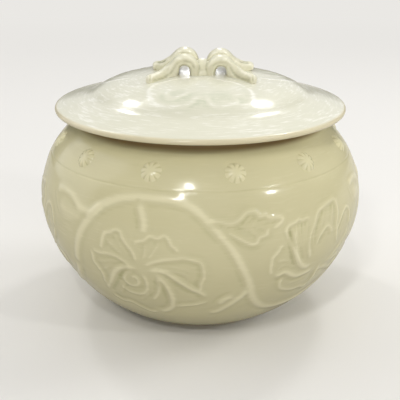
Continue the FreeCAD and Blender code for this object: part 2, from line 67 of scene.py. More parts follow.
def linear(hex_value):
    """A linear RGBA colour from an sRGB hex value such as "c8c19a"."""
    shares = [int(hex_value[start:start + 2], 16) / 255.0 for start in (0, 2, 4)]
    return [s / 12.92 if s <= 0.04045 else ((s + 0.055) / 1.055) ** 2.4 for s in shares] + [1.0]


def feed(node, inputs):
    """Set a node's inputs: the first ones in a list, or any by name or number in a dict. Each is a
    value, the output that feeds the socket, or a node, which stands for its first output."""
    for key, value in inputs.items() if isinstance(inputs, dict) else enumerate(inputs):
        if isinstance(value, bpy.types.Node):
            value = value.outputs[0]
        if isinstance(value, bpy.types.NodeSocket):
            node.id_data.links.new(value, node.inputs[key])
        else:
            node.inputs[key].default_value = value


def add_node(tree, kind, inputs=(), operation=None, **settings):
    """Add a node with its settings and its inputs. Below, add is this function for one tree."""
    node = tree.nodes.new(kind)
    if operation:
        settings["operation"] = operation
    for name, value in settings.items():
        setattr(node, name, value)
    feed(node, inputs)
    return node


def new_paint(name):
    """A new material, the function that adds nodes to it, and its shader."""
    paint = bpy.data.materials.new(name)
    paint.use_nodes = True
    return paint, partial(add_node, paint.node_tree), paint.node_tree.nodes["Principled BSDF"]


def new_object(name, data):
    """A new object in the scene."""
    item = bpy.data.objects.new(name, data)
    bpy.context.scene.collection.objects.link(item)
    return item


print("celadon green in linear light:", [round(v, 3) for v in linear("c8c19a")])

# %% [markdown]
# ## Camera
# The bowl is seen from a little above, with a lens long enough that its far side isn't pinched.
# The camera looks along +Y and is tilted down by about twenty degrees. A hair of roll is kept,
# because a table and a tripod are never quite true to each other.

# %% Camera
CAMERA_PLACE = (0.0, -0.363, 0.1819)
CAMERA_PITCH = math.radians(90.0 - 20.13)
CAMERA_ROLL = math.radians(0.19)

camera_data = bpy.data.cameras.new("camera")
camera_data.lens, camera_data.sensor_width = 72.0, 36.0
camera_data.clip_start, camera_data.clip_end = 0.01, 20.0
camera = new_object("camera", camera_data)
turned = Matrix.Rotation(CAMERA_PITCH, 4, "X") @ Matrix.Rotation(CAMERA_ROLL, 4, "Z")
camera.matrix_world = Matrix.Translation(CAMERA_PLACE) @ turned
bpy.context.scene.camera = camera
print("camera", [round(v, 3) for v in camera.location])

# %% [markdown]
# ## Floor and light
# A glossy glaze shows its lamps as small bright shapes, so where the lamps stand matters as much as
# how strong they are. Two small lamps stand high behind the bowl, one on each side, and light the
# lid's dome. A tiny one low behind it glints on the knob. Three small ones in front put the bright
# spots on the belly. A large soft one on the left and another behind show as a sheen on the rim.
# The rest only fill: the gloss doesn't see them. The world gives an even light besides. The floor
# is plain and pale, and far from the bowl it fades into the plain ground that the camera sees.

# %% Floor, world and lamps
FLOOR_HALF = 6.0
FLOOR_COLOUR = "e4e2de"
FLOOR_BOUNCE = "c4c1ba"      # the floor throws less light on the bowl than it shows
FLOOR_ROUGHNESS = 0.9
FADE_START, FADE_END = 0.25, 1.1
WORLD_COLOUR = "eae8e4"
WORLD_LIGHT = 0.12
LAMP_AIM = Vector((0.0, 0.0, 0.06))
LAMPS = [
    # name, degrees to the right of the front, degrees up, distance, width, watts, seen in the gloss
    ("lamp_back_left", -139.5, 48.5, 1.2, 0.15, 1.8, True),
    ("lamp_back_right", 143.0, 52.0, 1.2, 0.18, 2.2, True),
    ("lamp_back", 180.0, 15.0, 1.2, 0.09, 0.26, True),
    ("lamp_front_high", -10.0, 46.5, 1.2, 0.072, 1.8, True),
    ("lamp_front_low", -16.5, 37.0, 1.2, 0.08, 2.1, True),
    ("lamp_front_right", 54.0, 27.5, 1.2, 0.045, 1.8, True),
    ("lamp_left", -106.0, 26.0, 1.4, 1.4, 6.4, True),
    ("lamp_right", 104.0, 22.0, 1.4, 0.5, 7.6, False),
    ("lamp_low_fill", 6.0, 22.0, 1.6, 1.0, 6.4, False),
    ("lamp_overhead", 0.0, 85.0, 1.9, 2.4, 10.9, False),
    ("lamp_behind", 180.0, 36.0, 2.0, 2.2, 9.5, True),
]

bpy.context.scene.view_settings.view_transform = "Standard"


def make_floor():
    """A wide pale plane at the height of the foot."""
    mesh = bpy.data.meshes.new("studio_floor")
    corners = [(across * FLOOR_HALF, along * FLOOR_HALF, 0.0)
               for across, along in ((-1, -1), (1, -1), (1, 1), (-1, 1))]
    mesh.from_pydata(corners, [], [(0, 1, 2, 3)])
    floor = new_object("studio_floor", mesh)
    paint, add, shader = new_paint("matt_studio_floor")
    seen = add("ShaderNodeLightPath").outputs["Is Camera Ray"]
    shown = add(MIX, {0: seen, "A": linear(FLOOR_BOUNCE), "B": linear(FLOOR_COLOUR)},
                data_type="RGBA")
    feed(shader, {"Base Color": shown.outputs["Result"], "Roughness": FLOOR_ROUGHNESS})

    # Far from the bowl the lamps don't reach, so there the camera sees the world's plain colour.
    place = add("ShaderNodeTexCoord")
    away = add(VECTOR_MATH, [place.outputs["Object"]], "LENGTH")
    far = add(MAP_RANGE, [away.outputs["Value"], FADE_START, FADE_END],
              interpolation_type="SMOOTHSTEP")
    faded = add(MATH, [far, seen], "MULTIPLY")
    plain = add("ShaderNodeEmission", {"Color": linear(WORLD_COLOUR)})
    blend = add("ShaderNodeMixShader", [faded, shader, plain])
    feed(paint.node_tree.nodes["Material Output"], {"Surface": blend})
    mesh.materials.append(paint)


def make_world():
    """Even light on the object, and a plain ground where the camera sees it."""
    world = bpy.data.worlds.new("soft_studio_world")
    world.use_nodes = True
    world.node_tree.nodes.clear()
    add = partial(add_node, world.node_tree)
    path = add("ShaderNodeLightPath")
    light, ground = (add("ShaderNodeBackground", [linear(WORLD_COLOUR), strength])
                     for strength in (WORLD_LIGHT, 1.0))
    blend = add("ShaderNodeMixShader", [path.outputs["Is Camera Ray"], light, ground])
    add("ShaderNodeOutputWorld", {"Surface": blend})
    bpy.context.scene.world = world


def make_lamp(name, side_degrees, height_degrees, distance, width, watts, glossy):
    """A square soft lamp, aimed at the middle of the bowl."""
    lamp = bpy.data.lights.new(name, "AREA")
    lamp.shape, lamp.size, lamp.energy = "SQUARE", width, watts
    turn, lift = math.radians(side_degrees), math.radians(height_degrees)
    back = Vector((math.sin(turn) * math.cos(lift), -math.cos(turn) * math.cos(lift),
                   math.sin(lift)))
    item = new_object(name, lamp)
    item.location = LAMP_AIM + back * distance
    item.rotation_euler = back.to_track_quat("Z", "Y").to_euler()
    item.visible_glossy = glossy


make_floor()
make_world()
for settings in LAMPS:
    make_lamp(*settings)

# %% [markdown]
# ## Turning clay on the wheel, in Geometry Nodes
# Bowl, lid and florets are turned forms: one section, swept round an axis. A Spin or a Screw
# modifier would do it too. Here a Geometry Nodes tree does it, because the same tree can then feed
# the carving. The section is a chain of points, across and up. The tree lays a flat grid with one
# column for each step round and one row for each point of the section, moves every grid point to
# where its row says, and merges the seam and the two poles.

# %% The wheel: a tree that turns a section into a closed form
SAME_PLACE = 0.001 * MM      # points nearer than this are merged


def new_tree(name, inputs):
    """A Geometry Nodes tree, the function that adds nodes to it, and its named inputs."""
    tree = bpy.data.node_groups.new(name, "GeometryNodeTree")
    tree.interface.new_socket("Geometry", in_out="INPUT", socket_type="NodeSocketGeometry")
    for label, kind, value in inputs + [("Material", "Material", None)]:
        socket = tree.interface.new_socket(label, in_out="INPUT", socket_type="NodeSocket" + kind)
        if value is not None:
            socket.default_value = value
    tree.interface.new_socket("Geometry", in_out="OUTPUT", socket_type="NodeSocketGeometry")
    add = partial(add_node, tree)
    return tree, add, add("NodeGroupInput").outputs


def end_tree(add, value, geometry):
    """Every tree ends the same way: real geometry, then the material."""
    real = add("GeometryNodeRealizeInstances", {"Geometry": geometry})
    dressed = add("GeometryNodeSetMaterial", {"Geometry": real, "Material": value["Material"]})
    add("NodeGroupOutput", {"Geometry": dressed})


def make_wheel_tree():
    """Turn a section about the vertical axis into a closed form."""
    tree, add, value = new_tree("turn_on_the_wheel", [("Steps round", "Int", 96)])
    section = value["Geometry"]
    rows = add("GeometryNodeAttributeDomainSize", {"Geometry": section}).outputs["Point Count"]
    columns = add(MATH, [value["Steps round"], 1.0], "ADD")
    grid = add("GeometryNodeMeshGrid", {"Vertices X": columns, "Vertices Y": rows})
    place = add("GeometryNodeInputPosition")
    parts = add(SEPARATE, [place]).outputs
    share = add(MATH, [parts["Y"], 0.5], "ADD")
    last = add(MATH, [rows, 1.0], "SUBTRACT")
    row = add(MATH, [share, last], "MULTIPLY")
    whole = add("FunctionNodeFloatToInt", [row], rounding_mode="ROUND")
    point = add("GeometryNodeSampleIndex", {"Geometry": section, "Value": place, "Index": whole},
                data_type="FLOAT_VECTOR")
    angle = add(MATH, [parts["X"], math.tau], "MULTIPLY")
    turned = add(TURN, {"Vector": point, "Angle": angle}, rotation_type="Z_AXIS")
    form = add(MOVE, {"Geometry": grid, "Position": turned})
    closed = add("GeometryNodeMergeByDistance", {"Geometry": form, "Distance": SAME_PLACE})
    soft = add("GeometryNodeSetShadeSmooth", {"Geometry": closed, "Shade Smooth": True})
    end_tree(add, value, soft)
    return tree


def use_tree(piece, tree, **values):
    """Put a tree on a piece. Inputs are named with _ for a space and set by their identifiers."""
    modifier = piece.modifiers.new(tree.name, "NODES")
    modifier.node_group = tree
    for item in tree.interface.items_tree:
        key = item.name.replace(" ", "_").lower()
        if item.item_type == "SOCKET" and item.in_out == "INPUT" and key in values:
            modifier[item.identifier] = values[key]


def section_piece(name, points):
    """A piece that so far is only its section: points (across, up) in millimetres, in order."""
    mesh = bpy.data.meshes.new(name + "_section")
    places = [(across * MM, 0.0, up * MM) for across, up in points]
    mesh.from_pydata(places, [(number, number + 1) for number in range(len(places) - 1)], [])
    return new_object(name, mesh)


def turned_piece(name, points, steps_round, glaze):
    """A piece turned on the wheel from its section."""
    piece = section_piece(name, points)
    use_tree(piece, WHEEL, steps_round=steps_round, material=glaze)
    return piece


def settle(piece, helpers=()):
    """Turn what the modifiers make into the piece's own plain mesh, and take the helpers away."""
    graph = bpy.context.evaluated_depsgraph_get()
    mesh = bpy.data.meshes.new_from_object(piece.evaluated_get(graph))
    mesh.name = piece.name
    piece.modifiers.clear()
    piece.data = mesh
    for helper in helpers:
        bpy.data.objects.remove(helper)
    mesh.calc_loop_triangles()
    inside = 0.0
    for triangle in mesh.loop_triangles:
        first, second, third = (mesh.vertices[corner].co for corner in triangle.vertices)
        inside += first.dot(second.cross(third)) / 6.0
    print(piece.name, len(mesh.loop_triangles), "triangles,", round(inside * 1e6, 1), "cm3")


WHEEL = make_wheel_tree()
print("tree", WHEEL.name, "with", len(WHEEL.nodes), "nodes")

# %% [markdown]
# ## Celadon glaze
# Celadon is a clear feldspar glaze with a little iron, fired without air, over grey-white clay. It
# is thick and holds tiny bubbles, so it looks soft and milky, like jade. Where it runs thin, on a
# raised line, the pale clay shows through. Where it pools, beside a cut, it is deeper and greener.
# The carving trees below leave a number on every point of the form, "glaze_pool": how much deeper
# or shallower the glaze lies there. The material turns that number into colour. On the lip and the
# neck, where the lid has to sit, the glaze is wiped off, and that bare band is painted dark brown as
# painted shadow under the lid's brim. The brim's edge is thin and warm.

# %% The glaze
POOL_RANGE = 0.45 * MM       # the depth of glaze at which its colour is at its deepest
GLAZE_ROUGHNESS, GLAZE_IOR = 0.16, 1.52
CLOUD_WIDTH = 22.0 * MM      # clouds about two centimetres wide, from uneven dipping
STREAK_GAP = 1.3 * MM        # streaks about a millimetre apart, from the brush and the wheel
STREAK_CURL, STREAK_SLANT = 7.0, -0.8
SWELL_WIDTH, PEEL_WIDTH = 9.0 * MM, 1.6 * MM     # a slow swell of the skin, and a fine orange peel
PEEL_SHARE, SKIN_DEPTH = 0.12, 0.10 * MM
CLOUD_BAND, STREAK_BAND = (0.3, 0.7), (0.48, 0.68)       # the part of each noise that shows


def make_glaze(name, thin, plain, pooled, cloud_share, streak_share, ripple_share=0.0,
               pool_range=POOL_RANGE, bare=None, roughness=GLAZE_ROUGHNESS):
    """A celadon glaze. The three colours are for thin, even and pooled glaze. bare names the axis
    along which it gives way to clay, where that starts and ends, and the clay's colour."""
    paint, add, shader = new_paint(name)
    depth = add("ShaderNodeAttribute", attribute_name="glaze_pool")
    pool = add(MAP_RANGE, [depth.outputs["Fac"], -pool_range, pool_range])
    place = add("ShaderNodeTexCoord").outputs["Object"]
    clouds = add(NOISE, {
        "Vector": place, "Scale": 1.0 / CLOUD_WIDTH, "Detail": 3.0, "Roughness": 0.5})
    drift = add(MAP_RANGE, [clouds, *CLOUD_BAND, -cloud_share, cloud_share])
    deeper = add(MATH, [pool, drift], "ADD")

    # Streaks run round the form: the noise is read at the direction from the axis, which changes
    # slowly along a ring, and at the distance from the axis, which changes quickly across it.
    parts = add(SEPARATE, [place]).outputs
    flat = add(COMBINE, [parts["X"], parts["Y"]])
    across = add(VECTOR_MATH, [flat], "LENGTH").outputs["Value"]
    heading = add(VECTOR_MATH, [flat], "NORMALIZE")
    along = add(VECTOR_MATH, [heading, (STREAK_CURL, STREAK_CURL, 0.0)], "MULTIPLY")
    slant = add(MATH, [across, STREAK_SLANT, parts["Z"]], "MULTIPLY_ADD")
    rings = add(MATH, [slant, 1.0 / STREAK_GAP], "MULTIPLY")
    lift = add(COMBINE, {2: rings})
    brushed = add(VECTOR_MATH, [along, lift], "ADD")
    streaks = add(NOISE, {"Vector": brushed, "Scale": 1.0, "Detail": 4.0, "Roughness": 0.65})
    pale = add(MAP_RANGE, [streaks, *STREAK_BAND, 0.0, -streak_share])
    level = add(MATH, [deeper, pale], "ADD")

    ramp = add("ShaderNodeValToRGB", {"Fac": level})
    ramp.color_ramp.interpolation = "EASE"
    ramp.color_ramp.elements[0].color = linear(thin)
    ramp.color_ramp.elements[1].color = linear(pooled)
    ramp.color_ramp.elements.new(0.5).color = linear(plain)
    colour = ramp.outputs["Color"]
    # Where the glaze gives way to clay. On the bowl's neck the clay's dark brown is also painted
    # shadow, standing in for the shade under the lid's brim.
    if bare:
        axis, first, last, clay = bare
        bare_and_painted_shadow = add(MAP_RANGE, [parts["Z"] if axis == "up" else across, first, last],
                    interpolation_type="SMOOTHSTEP")
        colour = add(MIX, {0: bare_and_painted_shadow, "A": colour, "B": linear(clay)},
                     data_type="RGBA").outputs["Result"]

    swell, peel = (add(NOISE, {"Vector": place, "Scale": 1.0 / width, "Detail": detail})
                   for width, detail in ((SWELL_WIDTH, 1.0), (PEEL_WIDTH, 2.0)))
    fine = add(MATH, [peel, PEEL_SHARE], "MULTIPLY")
    skin = add(MATH, [swell, fine], "ADD")
    ripple = add(MATH, [streaks, ripple_share, skin], "MULTIPLY_ADD")
    bump = add("ShaderNodeBump", {"Height": ripple, "Strength": 1.0, "Distance": SKIN_DEPTH})
    feed(shader, {"Base Color": colour, "Roughness": roughness, "IOR": GLAZE_IOR, "Normal": bump})
    return paint


# The bowl's neck band is bare clay painted dark brown: painted shadow under the lid's brim.
BOWL_GLAZE = make_glaze("celadon_glaze_on_stoneware", "e3dcb8", "cfc8a1", "b0ac80", 0.09, 0.12, 0.1,
                        bare=("up", 89.2 * MM, 91.2 * MM, "8c7550"))
FLORET_GLAZE = make_glaze("pale_celadon_on_florets", "ece4c4", "dad3ac", "c3bc92", 0.04, 0.0)
KNOB_GLAZE = make_glaze("thin_celadon_on_the_knob", "f4f0dc", "dbd7ba", "9a9871", 0.12, 0.15,
                        roughness=0.3)
LID_GLAZE = make_glaze("milky_celadon_glaze", "f3f1e6", "dbd9c5", "c4c7ad", 0.12, 0.32, 0.5,
                       0.16 * MM, bare=("across", 64.7 * MM, 66.3 * MM, "dad0b0"))
print("glazes:", *(glaze.name for glaze in (BOWL_GLAZE, FLORET_GLAZE, KNOB_GLAZE, LID_GLAZE)))

# %% [markdown]
# ## Thin glaze on edges
# Melting glaze runs off an edge and gathers in a crease, so a pressed or modelled piece is pale on
# its edges and green in its folds. Pointiness in a shader would show it in the render only. Here a
# tree compares each point with a blurred copy of the form, which lies inside an edge and outside a
# crease, and adds the difference to "glaze_pool", where the carving leaves its own depth too.

# %% Thinning the glaze on edges
def make_thinning_tree():
    """Lower glaze_pool on edges and raise it in creases."""
    tree, add, value = new_tree("thin_glaze_on_edges", [
        ("Spread", "Int", 20), ("Amount", "Float", 1.0), ("Most", "Float", 0.3 * MM)])
    place = add("GeometryNodeInputPosition")
    around = add("GeometryNodeBlurAttribute", {"Value": place, "Iterations": value["Spread"]},
                 data_type="FLOAT_VECTOR")
    away = add(VECTOR_MATH, [around, place], "SUBTRACT")
    outward = add("GeometryNodeInputNormal")
    crease = add(VECTOR_MATH, [away, outward], "DOT_PRODUCT")
    deeper = add(MATH, [crease.outputs["Value"], value["Amount"]], "MULTIPLY")
    least = add(MATH, [value["Most"], -1.0], "MULTIPLY")
    held = add("ShaderNodeClamp", [deeper, least, value["Most"]])
    before = add(STORED, {"Name": "glaze_pool"})
    pool = add(MATH, [before, held], "ADD")
    glazed = add(STORE, {"Geometry": value["Geometry"], "Name": "glaze_pool", "Value": pool})
    end_tree(add, value, glazed)
    return tree


THINNING = make_thinning_tree()
print("tree", THINNING.name, "with", len(THINNING.nodes), "nodes")

# %% [markdown]
# ## Carving, in Geometry Nodes
# The potter cuts the scroll into the leather-hard wall with a slanted knife: beside each line one
# side falls steeply and the other rises gently, and the line itself is left standing. A sculpted
# mesh could not be changed afterwards, and a painted height map would be a picture. Here the lines
# are curves that lie on the wall, and one tree carves them. Each point of the wall finds its
# nearest curve, how far away it is, and on which side. A ridge rises close to the curve. A hollow
# lies beside it, deeper on the right of the way that the curve runs. The same depth is left as
# "glaze_pool" for the glaze.

# %% The carving tree
CURVE_STEP = 0.4 * MM
RIDGE_POWER = 2.6            # how square the ridge's bell is
REACH_START = 0.7            # the share of the reach at which the carving starts to die away
SIDE_SOFTNESS = 0.8          # how far round a line its two sides blend into each other


def make_carving_tree():
    """Raise and hollow a form along lines, and leave the depth as glaze_pool."""
    tree, add, value = new_tree("carve_lines", [
        ("Lines", "Object", None), ("Repeats", "Int", 1), ("Half width", "Float", 1.0 * MM),
        ("Ridge", "Float", 0.3 * MM), ("Hollow", "Float", 0.2 * MM),
        ("Hollow reach", "Float", 1.6 * MM), ("Far side share", "Float", 0.3),
        ("Fade", "Float", 3.0 * MM), ("Reach", "Float", 4.2 * MM), ("Soft passes", "Int", 1)])

    # The lines: smooth, finely divided, repeated round the axis, each with its way and strength.
    lines = add("GeometryNodeObjectInfo", {"Object": value["Lines"]}, transform_space="RELATIVE")
    smooth = add("GeometryNodeCurveSplineType", {"Curve": lines.outputs["Geometry"]},
                 spline_type="CATMULL_ROM")
    fine = add("GeometryNodeResampleCurve", {"Curve": smooth, "Length": CURVE_STEP}, mode="LENGTH")
    copies = add("GeometryNodeDuplicateElements", {"Geometry": fine, "Amount": value["Repeats"]},
                 domain="SPLINE")
    step = add(MATH, [math.tau, value["Repeats"]], "DIVIDE")
    angle = add(MATH, [step, copies.outputs["Duplicate Index"]], "MULTIPLY")
    place = add("GeometryNodeInputPosition")
    turned = add(TURN, {"Vector": place, "Angle": angle}, rotation_type="Z_AXIS")
    around = add(MOVE, {"Geometry": copies, "Position": turned})
    way = add("GeometryNodeInputTangent")
    with_way = add(STORE, {"Geometry": around, "Name": "way", "Value": way},
                   data_type="FLOAT_VECTOR")
    gone = add("GeometryNodeSplineParameter").outputs["Length"]
    whole = add("GeometryNodeSplineLength")
    left = add(MATH, [whole, gone], "SUBTRACT")
    nearer = add(MATH, [left, gone], "MINIMUM")
    faded = add(MAP_RANGE, [nearer, 0.0, value["Fade"]], interpolation_type="SMOOTHSTEP")
    press = add("GeometryNodeInputRadius")
    strength = add(MATH, [faded, press], "MULTIPLY")
    with_strength = add(STORE, {"Geometry": with_way, "Name": "strength", "Value": strength})
    wires = add("GeometryNodeCurveToMesh", {"Curve": with_strength})

    # The wall: the nearest line, its distance, and the side of it.
    near = add("GeometryNodeProximity", {"Geometry": wires}, target_element="EDGES").outputs
    index = add("GeometryNodeSampleNearest", {"Geometry": wires}, domain="POINT")
    its_way, its_strength = (
        add("GeometryNodeSampleIndex", {
            "Geometry": wires, "Index": index,
            "Value": add(STORED, {"Name": name}, data_type=kind),
        }, data_type=kind) for name, kind in (("way", "FLOAT_VECTOR"), ("strength", "FLOAT")))
    outward = add("GeometryNodeInputNormal")
    left_way = add(VECTOR_MATH, [outward, its_way], "CROSS_PRODUCT")
    away = add(VECTOR_MATH, [place, near["Position"]], "SUBTRACT")
    unit = add(VECTOR_MATH, [away], "NORMALIZE")
    side = add(VECTOR_MATH, [unit, left_way], "DOT_PRODUCT")
    share = add(MAP_RANGE, [side.outputs["Value"], SIDE_SOFTNESS, -SIDE_SOFTNESS,
                            value["Far side share"], 1.0], interpolation_type="SMOOTHSTEP")

    # Ridge: a bell over the line. Hollow: x e^((1 - x^2) / 2), which is 1 at the hollow's reach.
    wide = add(MATH, [near["Distance"], value["Half width"]], "DIVIDE")
    squarer = add(MATH, [wide, RIDGE_POWER], "POWER")
    minus = add(MATH, [squarer, -1.0], "MULTIPLY")
    bell = add(MATH, [minus], "EXPONENT")
    ridge = add(MATH, [bell, value["Ridge"]], "MULTIPLY")
    far = add(MATH, [near["Distance"], value["Hollow reach"]], "DIVIDE")
    squared = add(MATH, [far, 2.0], "POWER")
    half = add(MATH, [squared, -0.5, 0.5], "MULTIPLY_ADD")
    fall = add(MATH, [half], "EXPONENT")
    dip = add(MATH, [far, fall], "MULTIPLY")
    one_side = add(MATH, [dip, share], "MULTIPLY")
    hollow = add(MATH, [one_side, value["Hollow"]], "MULTIPLY")
    both = add(MATH, [ridge, hollow], "SUBTRACT")
    nearly = add(MATH, [value["Reach"], REACH_START], "MULTIPLY")
    reach = add(MAP_RANGE, [near["Distance"], nearly, value["Reach"], 1.0, 0.0],
                interpolation_type="SMOOTHSTEP")
    kept = add(MATH, [both, reach], "MULTIPLY")
    height = add(MATH, [kept, its_strength], "MULTIPLY")
    soft = add("GeometryNodeBlurAttribute", {"Value": height, "Iterations": value["Soft passes"]})

    # Leave the depth for the glaze before the wall moves, then move it along its own normal.
    before = add(STORED, {"Name": "glaze_pool"})
    pool = add(MATH, [before, soft], "SUBTRACT")
    depths = value["Geometry"]
    for name, number in (("glaze_lately", soft), ("glaze_pool", pool)):
        depths = add(STORE, {"Geometry": depths, "Name": name, "Value": number})
    lately = add(STORED, {"Name": "glaze_lately"})
    push = add(VECTOR_MATH, {0: outward, "Scale": lately}, "SCALE")
    carved = add(MOVE, {"Geometry": depths, "Offset": push})
    end_tree(add, value, carved)
    return tree


def lines_piece(name, strokes, lay):
    """Curves for the carving tree. lay turns a stroke's own numbers into a place on the wall."""
    curve = bpy.data.curves.new(name, "CURVE")
    curve.dimensions = "3D"
    for stroke in strokes:
        spline = curve.splines.new("POLY")
        spline.points.add(len(stroke) - 1)
        for point, numbers in zip(spline.points, stroke):
            point.co = (*lay(*numbers), 1.0)
    return new_object(name, curve)


def carve(piece, strokes, lay, glaze, repeats=1, far_side_share=0.3, soft_passes=1, **lengths):
    """Carve strokes into a piece. lengths are the tree's other inputs, in millimetres."""
    lines = lines_piece(piece.name + "_lines", strokes, lay)
    use_tree(piece, CARVING, lines=lines, repeats=repeats, far_side_share=far_side_share,
             soft_passes=soft_passes, material=glaze,
             **{key: length * MM for key, length in lengths.items()})
    return lines


CARVING = make_carving_tree()
print("tree", CARVING.name, "with", len(CARVING.nodes), "nodes")

# %% [markdown]
# ## The bowl's wall
# The outline of the bowl is two arcs that meet smoothly below the widest point. The sizes are the
# CAD model's own. Over the carved band the section has a point about every 0.8 mm, so that the
# carving has something to move. Elsewhere a few points are enough.

# %% The bowl's section
BELLY_RADIUS, BELLY_HEIGHT = 75.0, 55.3
SHOULDER_CURVE, LOWER_CURVE, CURVE_CHANGE = 43.1, 69.4, math.radians(18.7)
WALL, FLOOR_HEIGHT, UNDERSIDE = 4.5, 9.0, 3.0
MOUTH_BORE, LIP_RADIUS, RIM_HEIGHT, LIP_ROUND, LIP_LEAD = 51.0, 55.3, 95.19, 0.9, 2.0
BASE_ROUND_IN, BASE_ROUND_UP, FLOOR_ROUND_IN, FLOOR_ROUND_UP = 2.0, 1.6, 4.0, 3.0
BAND_STEP, LINE_STEP, PLAIN_STEP, TOP_STEP, INSIDE_STEP = 0.82, 0.22, 3.0, 2.5, 5.0
BAND_LOW, BAND_HIGH = 16.0, 76.3
LINE_HEIGHT = 77.3           # a fine line, cut with the bowl still turning, ends the band
GROUND_SINK, GROUND_SOFT = 0.38, 7.0     # how much lower the band's ground lies, and how softly

shoulder_centre = (BELLY_RADIUS - SHOULDER_CURVE, BELLY_HEIGHT)
lower_centre = (shoulder_centre[0] - (LOWER_CURVE - SHOULDER_CURVE) * math.cos(CURVE_CHANGE),
                shoulder_centre[1] + (LOWER_CURVE - SHOULDER_CURVE) * math.sin(CURVE_CHANGE))


def arc(centre, radius, first, last, step):
    """Points on a circle from one angle above level to another, about step apart."""
    count = max(2, round(abs(last - first) * radius / step))
    angles = [first + (last - first) * number / count for number in range(count + 1)]
    return [(centre[0] + radius * math.cos(a), centre[1] + radius * math.sin(a)) for a in angles]


def angle_at(centre, radius, up):
    """The angle above level of a circle's right half at a height."""
    return math.asin((up - centre[1]) / radius)


def round_corner(before, corner, after, steps=4):
    """A corner turned into a short smooth bend."""
    shares = [number / steps for number in range(steps + 1)]
    return [tuple((1 - t) ** 2 * a + 2 * t * (1 - t) * b + t * t * c
                  for a, b, c in zip(before, corner, after)) for t in shares]


def ground(up):
    """How far the carved band's ground lies below the wall at a height."""
    share = min(1.0, max(0.0, min(up - BAND_LOW, BAND_HIGH - up) / GROUND_SOFT))
    return GROUND_SINK * share * share * (3.0 - 2.0 * share)


def bowl_outside():
    """The outer wall from the edge of the underside to the foot of the mouth, fine in the band."""
    start, low = (angle_at(lower_centre, LOWER_CURVE, up)
                  for up in (UNDERSIDE + BASE_ROUND_UP, BAND_LOW))
    high, above = (angle_at(shoulder_centre, SHOULDER_CURVE, up)
                   for up in (BAND_HIGH, 2 * LINE_HEIGHT - BAND_HIGH))
    top = math.acos((LIP_RADIUS - shoulder_centre[0]) / SHOULDER_CURVE)
    wall = (arc(lower_centre, LOWER_CURVE, start, low, PLAIN_STEP)[:-1]
            + arc(lower_centre, LOWER_CURVE, low, -CURVE_CHANGE, BAND_STEP)[:-1]
            + arc(shoulder_centre, SHOULDER_CURVE, -CURVE_CHANGE, high, BAND_STEP)[:-1]
            + arc(shoulder_centre, SHOULDER_CURVE, high, above, LINE_STEP)[:-1]
            + arc(shoulder_centre, SHOULDER_CURVE, above, top, TOP_STEP))
    return [(across - ground(up), up) for across, up in wall]


def bowl_section():
    """The whole section, from the middle of the underside round to the middle of the floor."""
    outside = bowl_outside()
    base = math.sqrt(LOWER_CURVE ** 2 - (lower_centre[1] - UNDERSIDE) ** 2) + lower_centre[0]
    inner, below = SHOULDER_CURVE - WALL, LOWER_CURVE - WALL
    top = math.acos((MOUTH_BORE - shoulder_centre[0]) / inner)
    floor_turn = angle_at(lower_centre, below, FLOOR_HEIGHT + FLOOR_ROUND_UP)
    inside = (arc(shoulder_centre, inner, top, -CURVE_CHANGE, INSIDE_STEP)
              + arc(lower_centre, below, -CURVE_CHANGE, floor_turn, INSIDE_STEP)[1:])
    corner = (lower_centre[0] + math.sqrt(below ** 2 - (FLOOR_HEIGHT - lower_centre[1]) ** 2),
              FLOOR_HEIGHT)
    return [
        (0.0, UNDERSIDE), (22.0, UNDERSIDE), (36.0, UNDERSIDE),
        *round_corner((base - BASE_ROUND_IN, UNDERSIDE), (base, UNDERSIDE), outside[0])[:-1],
        *outside,
        (LIP_RADIUS, RIM_HEIGHT - LIP_LEAD),
        *round_corner((LIP_RADIUS, RIM_HEIGHT - LIP_ROUND), (LIP_RADIUS, RIM_HEIGHT),
                      (LIP_RADIUS - LIP_ROUND, RIM_HEIGHT)),
        *round_corner((MOUTH_BORE + LIP_ROUND, RIM_HEIGHT), (MOUTH_BORE, RIM_HEIGHT),
                      (MOUTH_BORE, RIM_HEIGHT - LIP_ROUND)),
        *inside,
        *round_corner(inside[-1], corner, (corner[0] - FLOOR_ROUND_IN, FLOOR_HEIGHT))[1:],
        (20.0, FLOOR_HEIGHT), (0.0, FLOOR_HEIGHT),
    ]


bowl_points = bowl_section()
print("bowl section", len(bowl_points), "points")

# %% [markdown]
# ## The peony scroll
# A scroll like this one is a wave: one stem runs round the bowl, over one flower and under the
# next, and sends out a stalk, a branch and leaves. Three repeats go round. Each stroke is a few
# points on the wall: degrees round from the front, to the right, and height in millimetres. The
# hollow lies on the right of a stroke's way, so petals are drawn clockwise, with the hollow inside.

